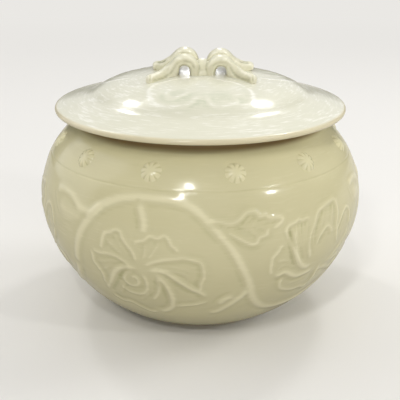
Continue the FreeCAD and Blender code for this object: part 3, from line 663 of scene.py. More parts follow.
# %% The strokes
STEMS = [
    # the wave, over the left flower and under the right one
    [(-47.5, 37.5), (-45, 45), (-42.5, 52.5), (-40, 58), (-37, 63), (-33.5, 68), (-30, 70.7),
     (-25.5, 73), (-20, 74), (-14, 74.3), (-8.5, 74), (-4, 72.5), (-0.5, 70), (2.5, 66.3),
     (6, 61.3), (8.5, 57.5), (11.5, 51), (14, 44.5), (16, 39), (18.5, 30.5), (21.5, 25), (25, 21.3),
     (30, 18.8), (36, 17.7), (46, 17.8), (54, 20), (61, 23), (68, 29.5), (72.5, 37.5)],
    # the stalk down to the left flower, and the two ends of the branch off the wave
    [(-20, 73), (-18.7, 69), (-17.6, 65), (-17.5, 59.5)],
    [(17, 35), (13.5, 29), (9.5, 24), (6.5, 21.3), (2.5, 20.6)],
    [(13, 31.7), (9.5, 30), (7.7, 27.7), (7, 25)],
]
FOLDS = [
    # the broad folds that run to a flower's heart: the left flower's, then the right one's
    [(-17.5, 44.3), (-14, 44.7), (-10.5, 43.7), (-8, 41.2), (-5.5, 38.6), (-2.5, 35.8), (0.5, 33.6),
     (2.8, 30.6)],
    [(-14.7, 42.5), (-12, 38.8), (-10.5, 35), (-9.7, 30), (-10.3, 24.5), (-13, 21), (-17, 19.3)],
    [(-36.5, 27.5), (-34.5, 31), (-31.5, 35.5), (-28.8, 40.5), (-25, 43.8), (-20, 44.6)],
    [(31.2, 61), (31, 56), (32, 50), (34, 44), (37, 40.3), (41, 39)],
    [(24.6, 40.4), (27, 39.3), (29, 40.3), (31.9, 38.2), (35.2, 36), (39.1, 36.1), (43.3, 36.8)],
    [(47, 38), (46.2, 34.5), (46.7, 31), (46.3, 27.5)],
]
PETALS = [
    # left flower: two upper petals, then round to the right
    [(-33, 50), (-32.5, 53), (-31.2, 57.7), (-29, 59), (-27.3, 60.3), (-25.5, 60), (-24.5, 57),
     (-22.6, 54), (-21.2, 51.7), (-20.3, 47.5)],
    [(-21.2, 55.5), (-19.5, 56.9), (-17.2, 58), (-15.5, 59.8), (-13, 59.3), (-11, 60.5),
     (-9.7, 59.5), (-8.7, 56.8), (-7.3, 55.2), (-6, 53.5)],
    [(-18, 46.2), (-14.5, 48.4), (-11, 50), (-7.5, 50.8), (-5, 51.4), (-2, 50.6), (0.3, 49.4),
     (1.2, 46), (1.3, 42), (0.4, 39), (0.3, 36.3), (-0.5, 34.5)],
    # its left side: the upper edge of the side petal, its outer edge, the tips below and the heart
    [(-37.2, 49.4), (-34.5, 48.3), (-31, 48.9), (-27.5, 48.5), (-25, 47), (-22.5, 45.3)],
    [(-36.3, 31), (-35, 36), (-35.8, 39.5), (-37.3, 43), (-37, 46), (-37.8, 48.8)],
    [(-14.5, 40.5), (-13.6, 36.5), (-14.8, 31.5), (-17.5, 27)],
    [(-22, 42.5), (-24.5, 40.8), (-26, 37.5), (-24.5, 34.8), (-21.8, 35), (-20.6, 37.5),
     (-21.8, 39.8), (-23.6, 38.6)],
    [(-19, 42), (-17.8, 38), (-18.5, 33), (-21.5, 30), (-26, 30.5), (-28.5, 33.5)],
    [(3.2, 28.6), (-2, 26.3), (-6, 25.4), (-9.7, 24.3)],
    [(-17, 19.3), (-20.5, 18.4), (-24, 20.3), (-28, 22.8), (-32, 22.3), (-36, 25.3)],
    # leaf between the flowers, with its notched edge
    [(2, 67.2), (5.8, 66.4), (9.3, 65.4), (12, 66.5), (14.4, 69), (16.8, 69.5), (18.1, 68.6),
     (19, 67.4), (20.9, 67.6), (21.8, 66.6), (23.8, 66.3), (26.3, 65.6), (26.5, 64.7), (24.6, 62.8),
     (22.5, 62)],
    [(7.9, 62.7), (12.7, 58.8), (15.9, 56.6), (17.7, 56.9), (18.3, 58.7), (19.1, 59.1), (21, 59.9),
     (21.3, 61.6), (22.5, 62)],
    # right flower: the fan, the tall petal and its inner one, and the petals beyond
    [(35, 42.4), (32, 48.4), (29.2, 55.1), (27.8, 59.7), (28.6, 61.6), (31.4, 62.7), (32.6, 63.5),
     (34.3, 62.8), (36.1, 63.2), (37.6, 61.9)],
    [(39.1, 43.7), (37.5, 49.9), (37.5, 55.1), (39.1, 59.6), (40.6, 63.6), (43, 65.3), (47, 66.4),
     (50.1, 66.9), (51.3, 64.3), (51.8, 60.7), (51, 54.6), (52.8, 48.4)],
    [(40.6, 48.7), (41.4, 52.5), (43.3, 55), (45.4, 56.8), (47.5, 55.1), (49, 52)],
    [(53.8, 45.8), (52.2, 49), (51.8, 52.5), (53.5, 56.3), (55.7, 59.2), (58, 60.6), (60.5, 58.5),
     (61.3, 54.5), (61, 50.5)],
    [(50.5, 36.8), (54.5, 40), (57.5, 43.5), (60, 47), (61.2, 50.5)],
    [(24.6, 40.2), (23.5, 42.4), (23.3, 45.4), (23.4, 48.8), (24.8, 50.8), (26.1, 53.3),
     (27.1, 54.6)],
    [(29, 37.3), (28.7, 34), (30, 31), (33, 29), (37, 27.6), (41, 27.3), (44, 26), (46.5, 26.8)],
    [(46.5, 35), (51, 34), (57, 31), (61, 33), (60, 36.5), (53, 37)],
]
LEAF_EDGES = [
    # the leaf on the left of the wave: its upper edge, and the roll of its belly
    [(-57.9, 68.1), (-55, 69.2), (-52, 69.7), (-49.2, 69.4), (-47, 68.8), (-44.7, 67.2),
     (-43, 65.9), (-40.9, 64.9), (-38.3, 64.8), (-36.5, 65.6), (-34.8, 67.3), (-32.8, 69.1)],
]
LEAF_BELLIES = [
    [(-54.5, 65), (-52, 62.6), (-49, 61.4), (-45.8, 61.4), (-42.8, 62.4), (-40.5, 63.4)],
]
VEINS = [
    [(-57.9, 68.3), (-57.3, 66.1), (-55.2, 62.1), (-53.2, 59.2)],
    [(-36.5, 43.5), (-33, 44.3), (-29.5, 45.8), (-26, 45.8)],
    [(-37, 39), (-33.5, 40.5), (-30.5, 43)], [(-14, 46.5), (-9.5, 47), (-5.5, 46.2), (-2.5, 45)],
    [(-11.5, 45.5), (-7, 44.5), (-3, 42)], [(-31, 56), (-28, 52.5), (-25, 50)],
    [(-27.5, 58.5), (-25.5, 54), (-23, 50.5)], [(-17, 56.5), (-17.2, 52.5), (-18, 49)],
    [(-12.5, 57.5), (-14.2, 53.5), (-16.3, 49.5)], [(-30.5, 27.5), (-28, 32), (-26.5, 35)],
    [(-23, 25.5), (-20.5, 28), (-17.5, 32)],
    [(11.5, 64.7), (14.6, 63.8), (17.9, 64.5), (21.2, 65.1), (24, 65.1)],
    [(13.3, 64.2), (14.7, 66), (16.4, 67.9)], [(16, 64), (17.5, 65.6), (18.4, 66.8)],
    [(15.1, 63.5), (16.8, 61.2), (18.4, 59.6)], [(17.9, 64.2), (19.7, 63), (20.9, 61.2)],
    [(29.7, 61), (30.8, 56.5), (32.6, 50.2)], [(31.4, 61.8), (32, 56.8), (33.5, 49.9)],
    [(33, 62.2), (33.1, 57.1), (34.3, 50.3)], [(34.5, 61.9), (34.4, 57.3), (35.2, 51.3)],
    [(36.1, 62), (35.6, 57.6), (35.9, 52.4)], [(39.3, 49.2), (39, 54.6), (40, 59.3), (41.6, 63)],
    [(49.4, 65), (48.2, 60.8), (47.4, 57)], [(44.4, 64.2), (43.2, 60.7), (42.4, 57)],
    [(25.4, 41.9), (27.2, 43.5), (30, 43.4), (33.4, 41.5)],
    [(24.8, 46.5), (28, 46.5), (31.5, 44.5)], [(54.5, 47.5), (54.3, 52), (56.3, 56)],
    [(33, 33), (37, 32.5), (41.5, 33.5)],
]


def on_wall(degrees, up):
    """A place on the bowl's wall, in metres: degrees from the front to the right, and height."""
    lower = up < lower_centre[1] - LOWER_CURVE * math.sin(CURVE_CHANGE)
    centre, radius = (lower_centre, LOWER_CURVE) if lower else (shoulder_centre, SHOULDER_CURVE)
    across = centre[0] + math.sqrt(radius ** 2 - (up - centre[1]) ** 2) - ground(up)
    turn = math.radians(degrees)
    return across * math.sin(turn) * MM, -across * math.cos(turn) * MM, up * MM


print("strokes:", len(STEMS), "stems,", len(PETALS), "petals,", len(VEINS), "veins")

# %% [markdown]
# ## Turning and carving the bowl
# The bowl is thrown first, and carved when it is leather-hard. Broad cuts come before fine ones:
# the stems, the folds of the petals, the leaf, the petals' edges and then the veins, each with a
# finer tool. Every set of strokes is one more use of the carving tree, so any of them can still be
# changed alone. At the end they are settled into one closed mesh, fine enough for the knife's edge.

# %% Turn and carve the bowl
BOWL_STEPS_ROUND = 672
PATTERN_REPEATS = 3
FAR_SIDE_SHARE = 0.35        # the hollow's depth on a line's left, as a share of that on its right

bowl = turned_piece("carved_bowl", bowl_points, BOWL_STEPS_ROUND, BOWL_GLAZE)
carve_wall = partial(carve, bowl, lay=on_wall, glaze=BOWL_GLAZE, repeats=PATTERN_REPEATS,
                     far_side_share=FAR_SIDE_SHARE)
fine_line = [(degrees, LINE_HEIGHT) for degrees in range(0, 364, 4)]
CUTS = [    # strokes, half width, ridge, hollow, hollow's reach, fade, soft passes
    (STEMS, 2.0, 0.42, 0.20, 2.7, 3.5, 1),
    (FOLDS, 1.3, 0.42, 0.25, 2.2, 3.5, 1),
    (LEAF_BELLIES, 3.6, 0.26, 0.08, 3.0, 3.5, 3),
    (LEAF_EDGES, 1.7, 0.36, 0.08, 3.0, 3.5, 1),
    (PETALS, 0.9, 0.30, 0.15, 1.6, 2.2, 0),
    (VEINS, 0.62, 0.14, 0.10, 1.0, 1.2, 0),
    ([fine_line], 0.35, -0.12, 0.0, 1.0, 3.5, 1),
]
drawn = [carve_wall(strokes, half_width=half_width, ridge=ridge, hollow=hollow, hollow_reach=reach,
                    fade=fade, soft_passes=soft_passes)
         for strokes, half_width, ridge, hollow, reach, fade, soft_passes in CUTS]
settle(bowl, drawn)
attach(bowl, "bowl")
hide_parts("bowl_body")

# %% [markdown]
# ## Pressed florets
# A dozen small rosettes of clay sit round the shoulder, like the studs of a drum. Each was pressed
# in a stamp and stuck on with slip, at a slightly different turn. One rosette, copied by hand a
# dozen times, would be hard to change. Here a tree turns one on the wheel, presses the furrows
# between its petals, and puts an instance on each point of a ring, upright on the curved shoulder.

# %% Florets
FLORET_COUNT, FLORET_TURN, FLORET_HEIGHT = 12, 12.5, RIM_HEIGHT - 11.8
FLORET_SECTION = [(0, -1.2), (2.5, -1.2), (4.9, -1.1), (5.1, -0.85), (4.95, -0.6), (4.6, -0.3),
                  (4.2, 0.05), (3.8, 0.36), (3.4, 0.62), (3.0, 0.82), (2.5, 1.0), (2.0, 1.13),
                  (1.5, 1.225), (1.0, 1.295), (0.5, 1.335), (0, 1.35)]
FLORET_STEPS = 64
FURROW_START, FURROW_END = 0.9 * MM, 3.2 * MM    # from the raised heart, where no furrow reaches
FURROW_WAVE = 0.1            # the height on the wave between the petals at which a furrow begins


def make_floret_tree():
    """One rosette, and a ring of them round the shoulder."""
    tree, add, value = new_tree("press_florets", [
        ("Count", "Int", 12), ("Ring radius", "Float", 0.0), ("Ring height", "Float", 0.0),
        ("First turn", "Float", 0.0), ("Slope centre across", "Float", 0.0),
        ("Slope centre up", "Float", 0.0), ("Petals", "Float", 8.0),
        ("Furrow", "Float", 0.4 * MM), ("Seed", "Int", 5)])
    turned = add("GeometryNodeGroup", {"Geometry": value["Geometry"], "Steps round": FLORET_STEPS},
                 node_tree=WHEEL)

    # Furrows between the petals: deep at the rim, none at the raised heart.
    place = add("GeometryNodeInputPosition")
    parts = add(SEPARATE, [place]).outputs
    angle = add(MATH, [parts["Y"], parts["X"]], "ARCTAN2")
    many = add(MATH, [angle, value["Petals"]], "MULTIPLY")
    wave = add(MATH, [many], "COSINE")
    share = add(MAP_RANGE, [wave, FURROW_WAVE, 1.0], interpolation_type="SMOOTHSTEP")
    flat = add(COMBINE, [parts["X"], parts["Y"]])
    across = add(VECTOR_MATH, [flat], "LENGTH")
    outer = add(MAP_RANGE, [across.outputs["Value"], FURROW_START, FURROW_END],
                interpolation_type="SMOOTHSTEP")
    depth = add(MATH, [share, outer], "MULTIPLY")
    drop = add(MATH, [depth, value["Furrow"]], "MULTIPLY")
    outward = add("GeometryNodeInputNormal")
    lift = add(MATH, [drop, -1.0], "MULTIPLY")
    push = add(VECTOR_MATH, {0: outward, "Scale": lift}, "SCALE")
    pressed = add(MOVE, {"Geometry": turned, "Offset": push})
    glazed = add(STORE, {"Geometry": pressed, "Name": "glaze_pool", "Value": drop})

    # The ring that they sit on, and the way that the shoulder faces at each.
    ring = add("GeometryNodeMeshCircle", [value["Count"], value["Ring radius"]])
    spin = add(COMBINE, {2: value["First turn"]})
    up = add(COMBINE, {2: value["Ring height"]})
    laid = add("GeometryNodeTransform", {"Geometry": ring, "Translation": up, "Rotation": spin})
    heading = add(VECTOR_MATH, [flat], "NORMALIZE")
    hub = add(VECTOR_MATH, {0: heading, "Scale": value["Slope centre across"]}, "SCALE")
    level = add(COMBINE, {2: value["Slope centre up"]})
    centre = add(VECTOR_MATH, [hub, level], "ADD")
    facing = add(VECTOR_MATH, [place, centre], "SUBTRACT")
    upright = add("FunctionNodeAlignRotationToVector", {"Vector": facing}, axis="Z")
    spread = add("GeometryNodeInstanceOnPoints", {
        "Points": laid, "Instance": glazed, "Rotation": upright})
    any_turn = add("FunctionNodeRandomValue", {3: math.tau, "Seed": value["Seed"]})
    own = add(COMBINE, {2: any_turn.outputs[1]})
    placed = add("GeometryNodeRotateInstances", {
        "Instances": spread, "Rotation": own, "Local Space": True})
    end_tree(add, value, placed)
    return tree


florets = section_piece("shoulder_florets", FLORET_SECTION)
floret_slope = SHOULDER_CURVE ** 2 - (FLORET_HEIGHT - shoulder_centre[1]) ** 2
use_tree(florets, make_floret_tree(), count=FLORET_COUNT,
         ring_radius=(shoulder_centre[0] + math.sqrt(floret_slope)) * MM,
         ring_height=FLORET_HEIGHT * MM, first_turn=math.radians(FLORET_TURN - 90.0),
         slope_centre_across=shoulder_centre[0] * MM, slope_centre_up=shoulder_centre[1] * MM,
         petals=9.0, furrow=0.24 * MM, material=FLORET_GLAZE)
use_tree(florets, THINNING, spread=6, amount=0.8, most=0.2 * MM, material=FLORET_GLAZE)
settle(florets)
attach(florets, "bowl")
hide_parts(*[f"floret_{number + 1:02d}" for number in range(FLORET_COUNT)])

# %% [markdown]
# ## The lid
# The lid is turned too: a flat brim with a round edge, a dome that leaves it in a soft curve, and a
# low crown. Inside, it is hollow. Round the knob runs a faint scroll, cut so shallow that the milky
# glaze nearly fills it, and a thin line of slip where the knob was stuck on. The wheel and the
# carving tree make it, with gentler numbers.

# %% The lid's section and scroll
LID_HEIGHT = 96.49           # the middle of the brim's round edge, above the foot
BRIM_EDGE, BRIM_RADIUS, DOME_FOOT, DOME_RADIUS = 1.3, 65.1, 5.27, 50.77
DOME_CURVE, DOME_SLOPE, CROWN_SLOPE = 35.3, math.radians(38.1), math.radians(9.1)
HOLLOW_RADIUS, DOME_SOFT, LID_WALL = 46.5, 2.4, 4.0
CROWN_STEP, DOME_STEP, EDGE_STEP, HOLLOW_STEP = 1.4, 1.2, 0.4, 4.0
BRIM_POINTS, COLLAR_SEAT = (55.2, 57.2, 59.2, 61.2, 63.2, 64.6), (57.0, 50.3)
QUARTER = math.pi / 2.0

dome_centre = (DOME_RADIUS - DOME_CURVE * math.sin(DOME_SLOPE),
               DOME_FOOT - DOME_CURVE * math.cos(DOME_SLOPE))
crown_edge = dome_centre[0] + DOME_CURVE * math.sin(CROWN_SLOPE)
crown_curve = crown_edge / math.sin(CROWN_SLOPE)
crown_centre = (0.0, dome_centre[1] + (DOME_CURVE - crown_curve) * math.cos(CROWN_SLOPE))


def lid_top(across):
    """Height of the lid's top above the middle of the brim's edge."""
    if across < crown_edge:
        return crown_centre[1] + math.sqrt(crown_curve ** 2 - across ** 2)
    return dome_centre[1] + math.sqrt(DOME_CURVE ** 2 - (across - dome_centre[0]) ** 2)


def lid_section():
    """The whole section, from the middle of the hollow out and back to the middle of the crown."""
    crown_turn, inner = QUARTER - CROWN_SLOPE, DOME_CURVE - LID_WALL
    top = arc(crown_centre, crown_curve, QUARTER, crown_turn, CROWN_STEP)
    dome_end = QUARTER - DOME_SLOPE + DOME_SOFT / DOME_CURVE
    dome = arc(dome_centre, DOME_CURVE, crown_turn, dome_end, DOME_STEP)[1:]
    slope = (BRIM_EDGE - DOME_FOOT) / (BRIM_RADIUS - DOME_RADIUS)
    soft_end = (DOME_RADIUS + DOME_SOFT, DOME_FOOT + slope * DOME_SOFT)
    bend = round_corner(dome[-1], (DOME_RADIUS, DOME_FOOT), soft_end, 6)[1:]
    brim = [(across, DOME_FOOT + slope * (across - DOME_RADIUS)) for across in BRIM_POINTS]
    edge = arc((BRIM_RADIUS, 0.0), BRIM_EDGE, QUARTER + slope, -QUARTER, EDGE_STEP)
    inside_foot = math.acos((HOLLOW_RADIUS - dome_centre[0]) / inner)
    inside = (arc(dome_centre, inner, inside_foot, crown_turn, HOLLOW_STEP)
              + arc(crown_centre, crown_curve - LID_WALL, crown_turn, QUARTER, INSIDE_STEP)[1:])
    under = [(across, -BRIM_EDGE) for across in (*COLLAR_SEAT, HOLLOW_RADIUS)]
    points = top + dome + bend + brim + edge + under + inside
    points[0], points[-1] = (0.0, points[0][1]), (0.0, points[-1][1])
    return [(across, up + LID_HEIGHT) for across, up in reversed(points)]


def on_lid(degrees, across):
    """A place on the lid's top: degrees from the front to the right, and distance from the axis."""
    turn = math.radians(degrees)
    up = lid_top(across) + LID_HEIGHT
    return across * math.sin(turn) * MM, -across * math.cos(turn) * MM, up * MM


LID_SCROLL = [
    [(-45, 27), (-40, 33.7), (-35.5, 37.6), (-30, 41.5), (-25.8, 43.8), (-21.6, 45.2),
     (-17.2, 45.7), (-12.7, 45.1), (-8.3, 44.3), (-5.2, 42.2), (-3.4, 39.6), (0.4, 38.1),
     (7, 36.5)],
    [(-25.3, 32.8), (-22.2, 37.3), (-19.1, 39.6), (-16, 40), (-13.8, 38), (-10.6, 35.5),
     (-8.1, 31.8)],
    [(1.5, 37), (4.1, 39.6), (5.8, 43.1), (8.9, 44.7), (14.3, 44.6), (19.5, 43), (22.5, 39.3)],
    [(39, 31), (36.5, 36), (33, 40.5), (28.9, 44), (24.8, 45.4), (20, 46)],
]
LID_POOLS = [[(-27, 34), (-12, 38), (2, 40), (14, 40), (26, 37)]]
SLIP_LINE = [[(-50.8, 31.2), (-41.8, 25.7), (-37.4, 19.5), (-25.9, 15.8), (0, 13.5), (12.6, 13.7),
              (25, 17), (36.5, 23.2), (40.1, 29.6)], [(139.9, 29.6), (145, 23.2), (155, 17),
              (180, 13.5), (205, 16), (217, 19.5), (221.8, 25.7), (230.8, 31.2)]]

LID_STEPS_ROUND = 480
lid = turned_piece("domed_lid", lid_section(), LID_STEPS_ROUND, LID_GLAZE)
drawn = [
    carve(lid, LID_POOLS, on_lid, LID_GLAZE, PATTERN_REPEATS, half_width=9.0, ridge=-0.075,
          hollow=0.0, fade=4.0, reach=12.0),
    carve(lid, SLIP_LINE, on_lid, LID_GLAZE, half_width=0.7, ridge=0.12, hollow=0.0, fade=3.0),
    carve(lid, LID_SCROLL, on_lid, LID_GLAZE, PATTERN_REPEATS, half_width=1.0, ridge=0.13,
          hollow=0.035, hollow_reach=2.4, fade=3.0),
]
settle(lid, drawn)
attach(lid, "lid")
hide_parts("lid_cover")

# %% [markdown]
# ## A bow of two ribbons
# The knob is a bow. Two flat strands of clay are laid side by side, bent up into a loop on the left
# and another on the right, and tied by a strap across the middle. The front strands' tails run
# forward and out, and end in small rolled tips with a thumb mark. The rear strands' tails run out
# and back. This is the part that takes the most skill, for the clay cracks if it is a little too
# dry. Here each strand is a short chain of stations: a place, a width, a thickness, and the side
# that the width lies along. A tree runs a soft-cornered section through them. A voxel remesh then
# presses all the strands into one body of clay, as the potter's fingers do.

# %% The tree that runs a flat strand through its stations
def make_strand_tree():
    """Sweep a squared circle along chains of stations, as wide and thick as each station says."""
    tree, add, value = new_tree("run_flat_strands", [
        ("Step", "Float", 0.35 * MM), ("Squareness", "Float", 4.0), ("Points round", "Int", 40)])

    scalars = ("wide", "thick", "part_across", "part_out")
    vectors = ("side", "middle", "across", "out")
    stored = {name: add(STORED, {"Name": name}, data_type=kind)
              for kind, names in (("FLOAT", scalars), ("FLOAT_VECTOR", vectors)) for name in names}
    chains = add("GeometryNodeMeshToCurve", {"Mesh": value["Geometry"]})
    smooth = add("GeometryNodeCurveSplineType", {"Curve": chains}, spline_type="CATMULL_ROM")
    fine = add("GeometryNodeResampleCurve", {"Curve": smooth, "Length": value["Step"]},
               mode="LENGTH")
    place = add("GeometryNodeInputPosition")
    way = add("GeometryNodeInputTangent")
    rise = add(VECTOR_MATH, [way, stored["side"]], "CROSS_PRODUCT")
    unit = add(VECTOR_MATH, [rise], "NORMALIZE")
    half_wide, half_thick = (add(MATH, [stored[name], 0.5], "MULTIPLY")
                             for name in ("wide", "thick"))
    across = add(VECTOR_MATH, {0: stored["side"], "Scale": half_wide}, "SCALE")
    out = add(VECTOR_MATH, {0: unit, "Scale": half_thick}, "SCALE")
    line = fine
    for name, vector in (("middle", place), ("across", across), ("out", out)):
        line = add(STORE, {"Geometry": line, "Name": name, "Value": vector},
                   data_type="FLOAT_VECTOR")

    # The section: a circle squared off, |x|^n + |y|^n = 1, whose two numbers ride along the sweep.
    section = add("GeometryNodeCurvePrimitiveCircle", {
        "Resolution": value["Points round"], "Radius": 1.0})
    parts = add(SEPARATE, [place]).outputs
    power = add(MATH, [2.0, value["Squareness"]], "DIVIDE")
    for name, part in (("part_across", parts["X"]), ("part_out", parts["Y"])):
        size = add(MATH, [part], "ABSOLUTE")
        grown = add(MATH, [size, power], "POWER")
        sign = add(MATH, [part], "SIGN")
        squared = add(MATH, [grown, sign], "MULTIPLY")
        section = add(STORE, {"Geometry": section, "Name": name, "Value": squared})
    swept = add("GeometryNodeCurveToMesh", {
        "Curve": line, "Profile Curve": section, "Fill Caps": True})
    go_across, go_out = (
        add(VECTOR_MATH, {0: stored[way_out], "Scale": stored["part_" + way_out]},
            "SCALE") for way_out in ("across", "out"))
    both = add(VECTOR_MATH, [go_across, go_out], "ADD")
    spot = add(VECTOR_MATH, [both, stored["middle"]], "ADD")
    laid = add(MOVE, {"Geometry": swept, "Position": spot})
    end_tree(add, value, laid)
    return tree


def chains_piece(name, chains):
    """Chains of stations (x, y, z, wide, thick, side) in millimetres. Widths lie along side."""
    mesh = bpy.data.meshes.new(name + "_chains")
    places, edges, stations = [], [], []
    for chain in chains:
        first = len(places)
        edges += [(number, number + 1) for number in range(first, first + len(chain) - 1)]
        places += [Vector(station[:3]) * MM for station in chain]
        stations += chain
    mesh.from_pydata(places, edges, [])
    for key, column in (("wide", 3), ("thick", 4)):
        kept = mesh.attributes.new(key, "FLOAT", "POINT")
        kept.data.foreach_set("value", [station[column] * MM for station in stations])
    kept = mesh.attributes.new("side", "FLOAT_VECTOR", "POINT")
    kept.data.foreach_set("vector", [number for station in stations for number in station[5]])
    return new_object(name, mesh)


STRANDS = make_strand_tree()
print("tree", STRANDS.name, "with", len(STRANDS.nodes), "nodes")

# %% [markdown]
# ## Where the ribbons run
# A potter feels where a ribbon wants to bend. Here its way is written down once, as a leg, an arch
# and a tail, and the four strands differ only in a few sizes. Then the loops are pierced from the
# front, the clay is rubbed smooth, and folds, grooves and thumb marks are pressed in with the
# carving tree. Front and rear strands stay separate clay until the remesh joins them, as on the
# real knob, where their seam still shows.

# %% The stations of the bow
CROWN_TOP = LID_HEIGHT + lid_top(0.0)
KNOB_SHIFT, LOOP_REACH, LOOP_BORE, LAP, SINK = 1.0, 8.2, 2.35, 0.9, 1.4
HOLE_WIDE, HOLE_TALL, HOLE_MIDDLE = 4.7, 6.2, 112.3
HOLE_STATIONS = ((-16.0, 0.6), (-8.0, 0.0), (-3.0, 0.2), (2.0, 1.4), (16.0, 2.0))    # along, flare
KINDS = {
    # thick, wide, rise, width at the tail's end, and how far that end is raised, in thicknesses
    "front": (4.6, 10.4, 8.4, 6.0, 0.25),
    "rear": (4.2, 11.2, 9.8, 8.5, 0.4),
}
ARCH_ANGLES = (180, 155, 130, 105, 80, 60, 40)
TAIL_SHARES = (0.2, 0.4, 0.6, 0.8, 1.0)
TAIL_SLOPE = math.tan(math.radians(-50.0))
TAIL_LEAD, TAIL_FILL = 0.32, 2.6
# A tip's two stations: how far past the tail, in thicknesses, and how much of its size is left.
TIP_ENDS = ((0.32, 0.78), (0.5, 0.45))
ALONG, ACROSS = (0.0, 1.0, 0.0), (1.0, 0.0, 0.0)
KNOT_TOP, KNOT_REACH, KNOT_WIDE, KNOT_THICK = 117.2, 8.3, 3.9, 3.6
KNOT_SWELL, KNOT_SPREAD = 0.6, 1.8       # how much wider the strap is on top, and at its two feet
VOXEL = 0.26 * MM


def strand_chain(side, kind, tip_out, tip_along, droop=0.0):
    """A strand from its foot, up and over its loop, and down its tail, which lies on the crown."""
    thick, wide, rise, end_wide, raised = KINDS[kind]
    rise -= droop
    facing = -1.0 if kind == "front" else 1.0
    along = facing * 0.5 * (wide - LAP)
    reach = LOOP_BORE + 0.5 * thick
    middle_up = CROWN_TOP + rise - 0.5 * thick - reach
    leg = LOOP_REACH - reach
    chain = [(leg, along, up, wide, thick)
             for up in (CROWN_TOP - SINK, 0.5 * (CROWN_TOP - SINK + middle_up))]
    chain += [(LOOP_REACH + reach * math.cos(turn), along, middle_up + reach * math.sin(turn),
               wide, thick) for turn in map(math.radians, ARCH_ANGLES)]
    start = chain[-1]
    end_up = LID_HEIGHT + lid_top(math.hypot(tip_out, tip_along)) + raised * thick
    lie = -math.asin(tip_out / crown_curve)
    lead = TAIL_LEAD * (tip_out - start[0])
    poles = [(start[0], start[2]), (start[0] + lead, start[2] + lead * TAIL_SLOPE),
             (tip_out - lead, end_up - lead * math.tan(lie)), (tip_out, end_up)]
    for t in TAIL_SHARES:
        shares = ((1 - t) ** 3, 3 * t * (1 - t) ** 2, 3 * t * t * (1 - t), t ** 3)
        across, up = (sum(share * pole[axis] for share, pole in zip(shares, poles))
                      for axis in (0, 1))
        fill = TAIL_FILL * math.sin(math.pi * t ** 0.6)
        chain.append((across, along + (facing * tip_along - along) * t ** 1.3, up - 0.5 * fill,
                      wide + (end_wide - wide) * t, thick + fill))
    across, forth, up = chain[-1][:3]
    chain += [(across + beyond * thick, forth, up - beyond * thick * math.tan(-lie),
               share * end_wide, share * thick) for beyond, share in TIP_ENDS]
    return [(KNOB_SHIFT + side * x, y, z, w, t, ALONG) for x, y, z, w, t in chain]


def strand_line(chain, hand, across, out, first, last):
    """A line on a strand's skin. across and out run from -1 to 1 over its width and thickness."""
    line = []
    for number in range(first, last):
        station = chain[number]
        way = Vector(chain[number + 1][:3]) - Vector(chain[number - 1][:3])
        up = hand * way.normalized().cross(Vector(station[5]))
        line.append(tuple(Vector(station[:3]) + Vector(station[5]) * (0.5 * across * station[3])
                          + up * (0.5 * out * station[4])))
    return line


def in_space(x, y, z):
    """A place already in three numbers, in metres."""
    return x * MM, y * MM, z * MM


knot_foot = CROWN_TOP - SINK
knot_rise = KNOT_TOP - 0.5 * KNOT_THICK - knot_foot
knot_chain = [
    (KNOB_SHIFT, KNOT_REACH * math.cos(turn), knot_foot + knot_rise * math.sin(turn),
     KNOT_WIDE + KNOT_SWELL * math.sin(turn) ** 8 + KNOT_SPREAD * math.cos(turn) ** 4, KNOT_THICK,
     ACROSS)
    for turn in (math.pi * number / 8 for number in range(9))]
fronts = {-1: strand_chain(-1, "front", 22.6, 16.3), 1: strand_chain(1, "front", 21.4, 16.3, 0.4)}
rears = {-1: strand_chain(-1, "rear", 21.2, 10.5), 1: strand_chain(1, "rear", 21.8, 10.5, 0.5)}
bow = chains_piece("ribbon_bow_knob", [*fronts.values(), *rears.values(), knot_chain])
holes = chains_piece("knob_holes", [
    [(KNOB_SHIFT + side * LOOP_REACH, y, HOLE_MIDDLE, HOLE_WIDE + flare, HOLE_TALL + flare, ACROSS)
     for y, flare in HOLE_STATIONS] for side in (-1, 1)])
use_tree(bow, STRANDS, step=0.35 * MM, squareness=3.2, points_round=40, material=KNOB_GLAZE)
use_tree(holes, STRANDS, step=1.0 * MM, squareness=2.4, points_round=32, material=KNOB_GLAZE)

for label, kind, settings in (
        ("press_together", "REMESH", {"mode": "VOXEL", "voxel_size": VOXEL}),
        ("pierce", "BOOLEAN", {"operation": "DIFFERENCE", "object": holes, "solver": "EXACT"}),
        ("heal", "REMESH", {"mode": "VOXEL", "voxel_size": VOXEL, "use_smooth_shade": True}),
        ("rub_smooth", "SMOOTH", {"factor": 0.5, "iterations": 12})):
    modifier = bow.modifiers.new(label, kind)
    for setting, value in settings.items():
        setattr(modifier, setting, value)
settle(bow, [holes])

folds = [strand_line(rears[hand], hand, across, 1.0, first, 15)
         for hand in (-1, 1) for across, first in ((-0.5, 9), (0.05, 10), (0.55, 11))]
grooves = [strand_line(fronts[hand], hand, -0.97, 0.05, 2, 14) for hand in (-1, 1)]
marks = []
for hand, chain in fronts.items():
    tail_end = chain[-1 - len(TIP_ENDS)]
    marks.append([tuple(Vector(tail_end[:3]) + Vector((hand * shift, -0.42 * tail_end[3], 0.6)))
                  for shift in (-0.5, 0.3, 1.0)])
drawn = [carve(bow, strokes, in_space, KNOB_GLAZE, half_width=half_width, ridge=ridge, hollow=0.0,
               fade=fade)
         for strokes, half_width, ridge, fade in (
             (grooves, 0.8, -0.14, 2.5), (folds, 0.9, -0.32, 3.0), (marks, 1.7, -0.25, 0.3))]
use_tree(bow, THINNING, spread=14, amount=2.0, most=0.3 * MM, material=KNOB_GLAZE)
settle(bow, drawn)
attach(bow, "lid")
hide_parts("knob_left_front_strand", "knob_left_rear_strand", "knob_right_front_strand",
            "knob_right_rear_strand", "knob_knot")

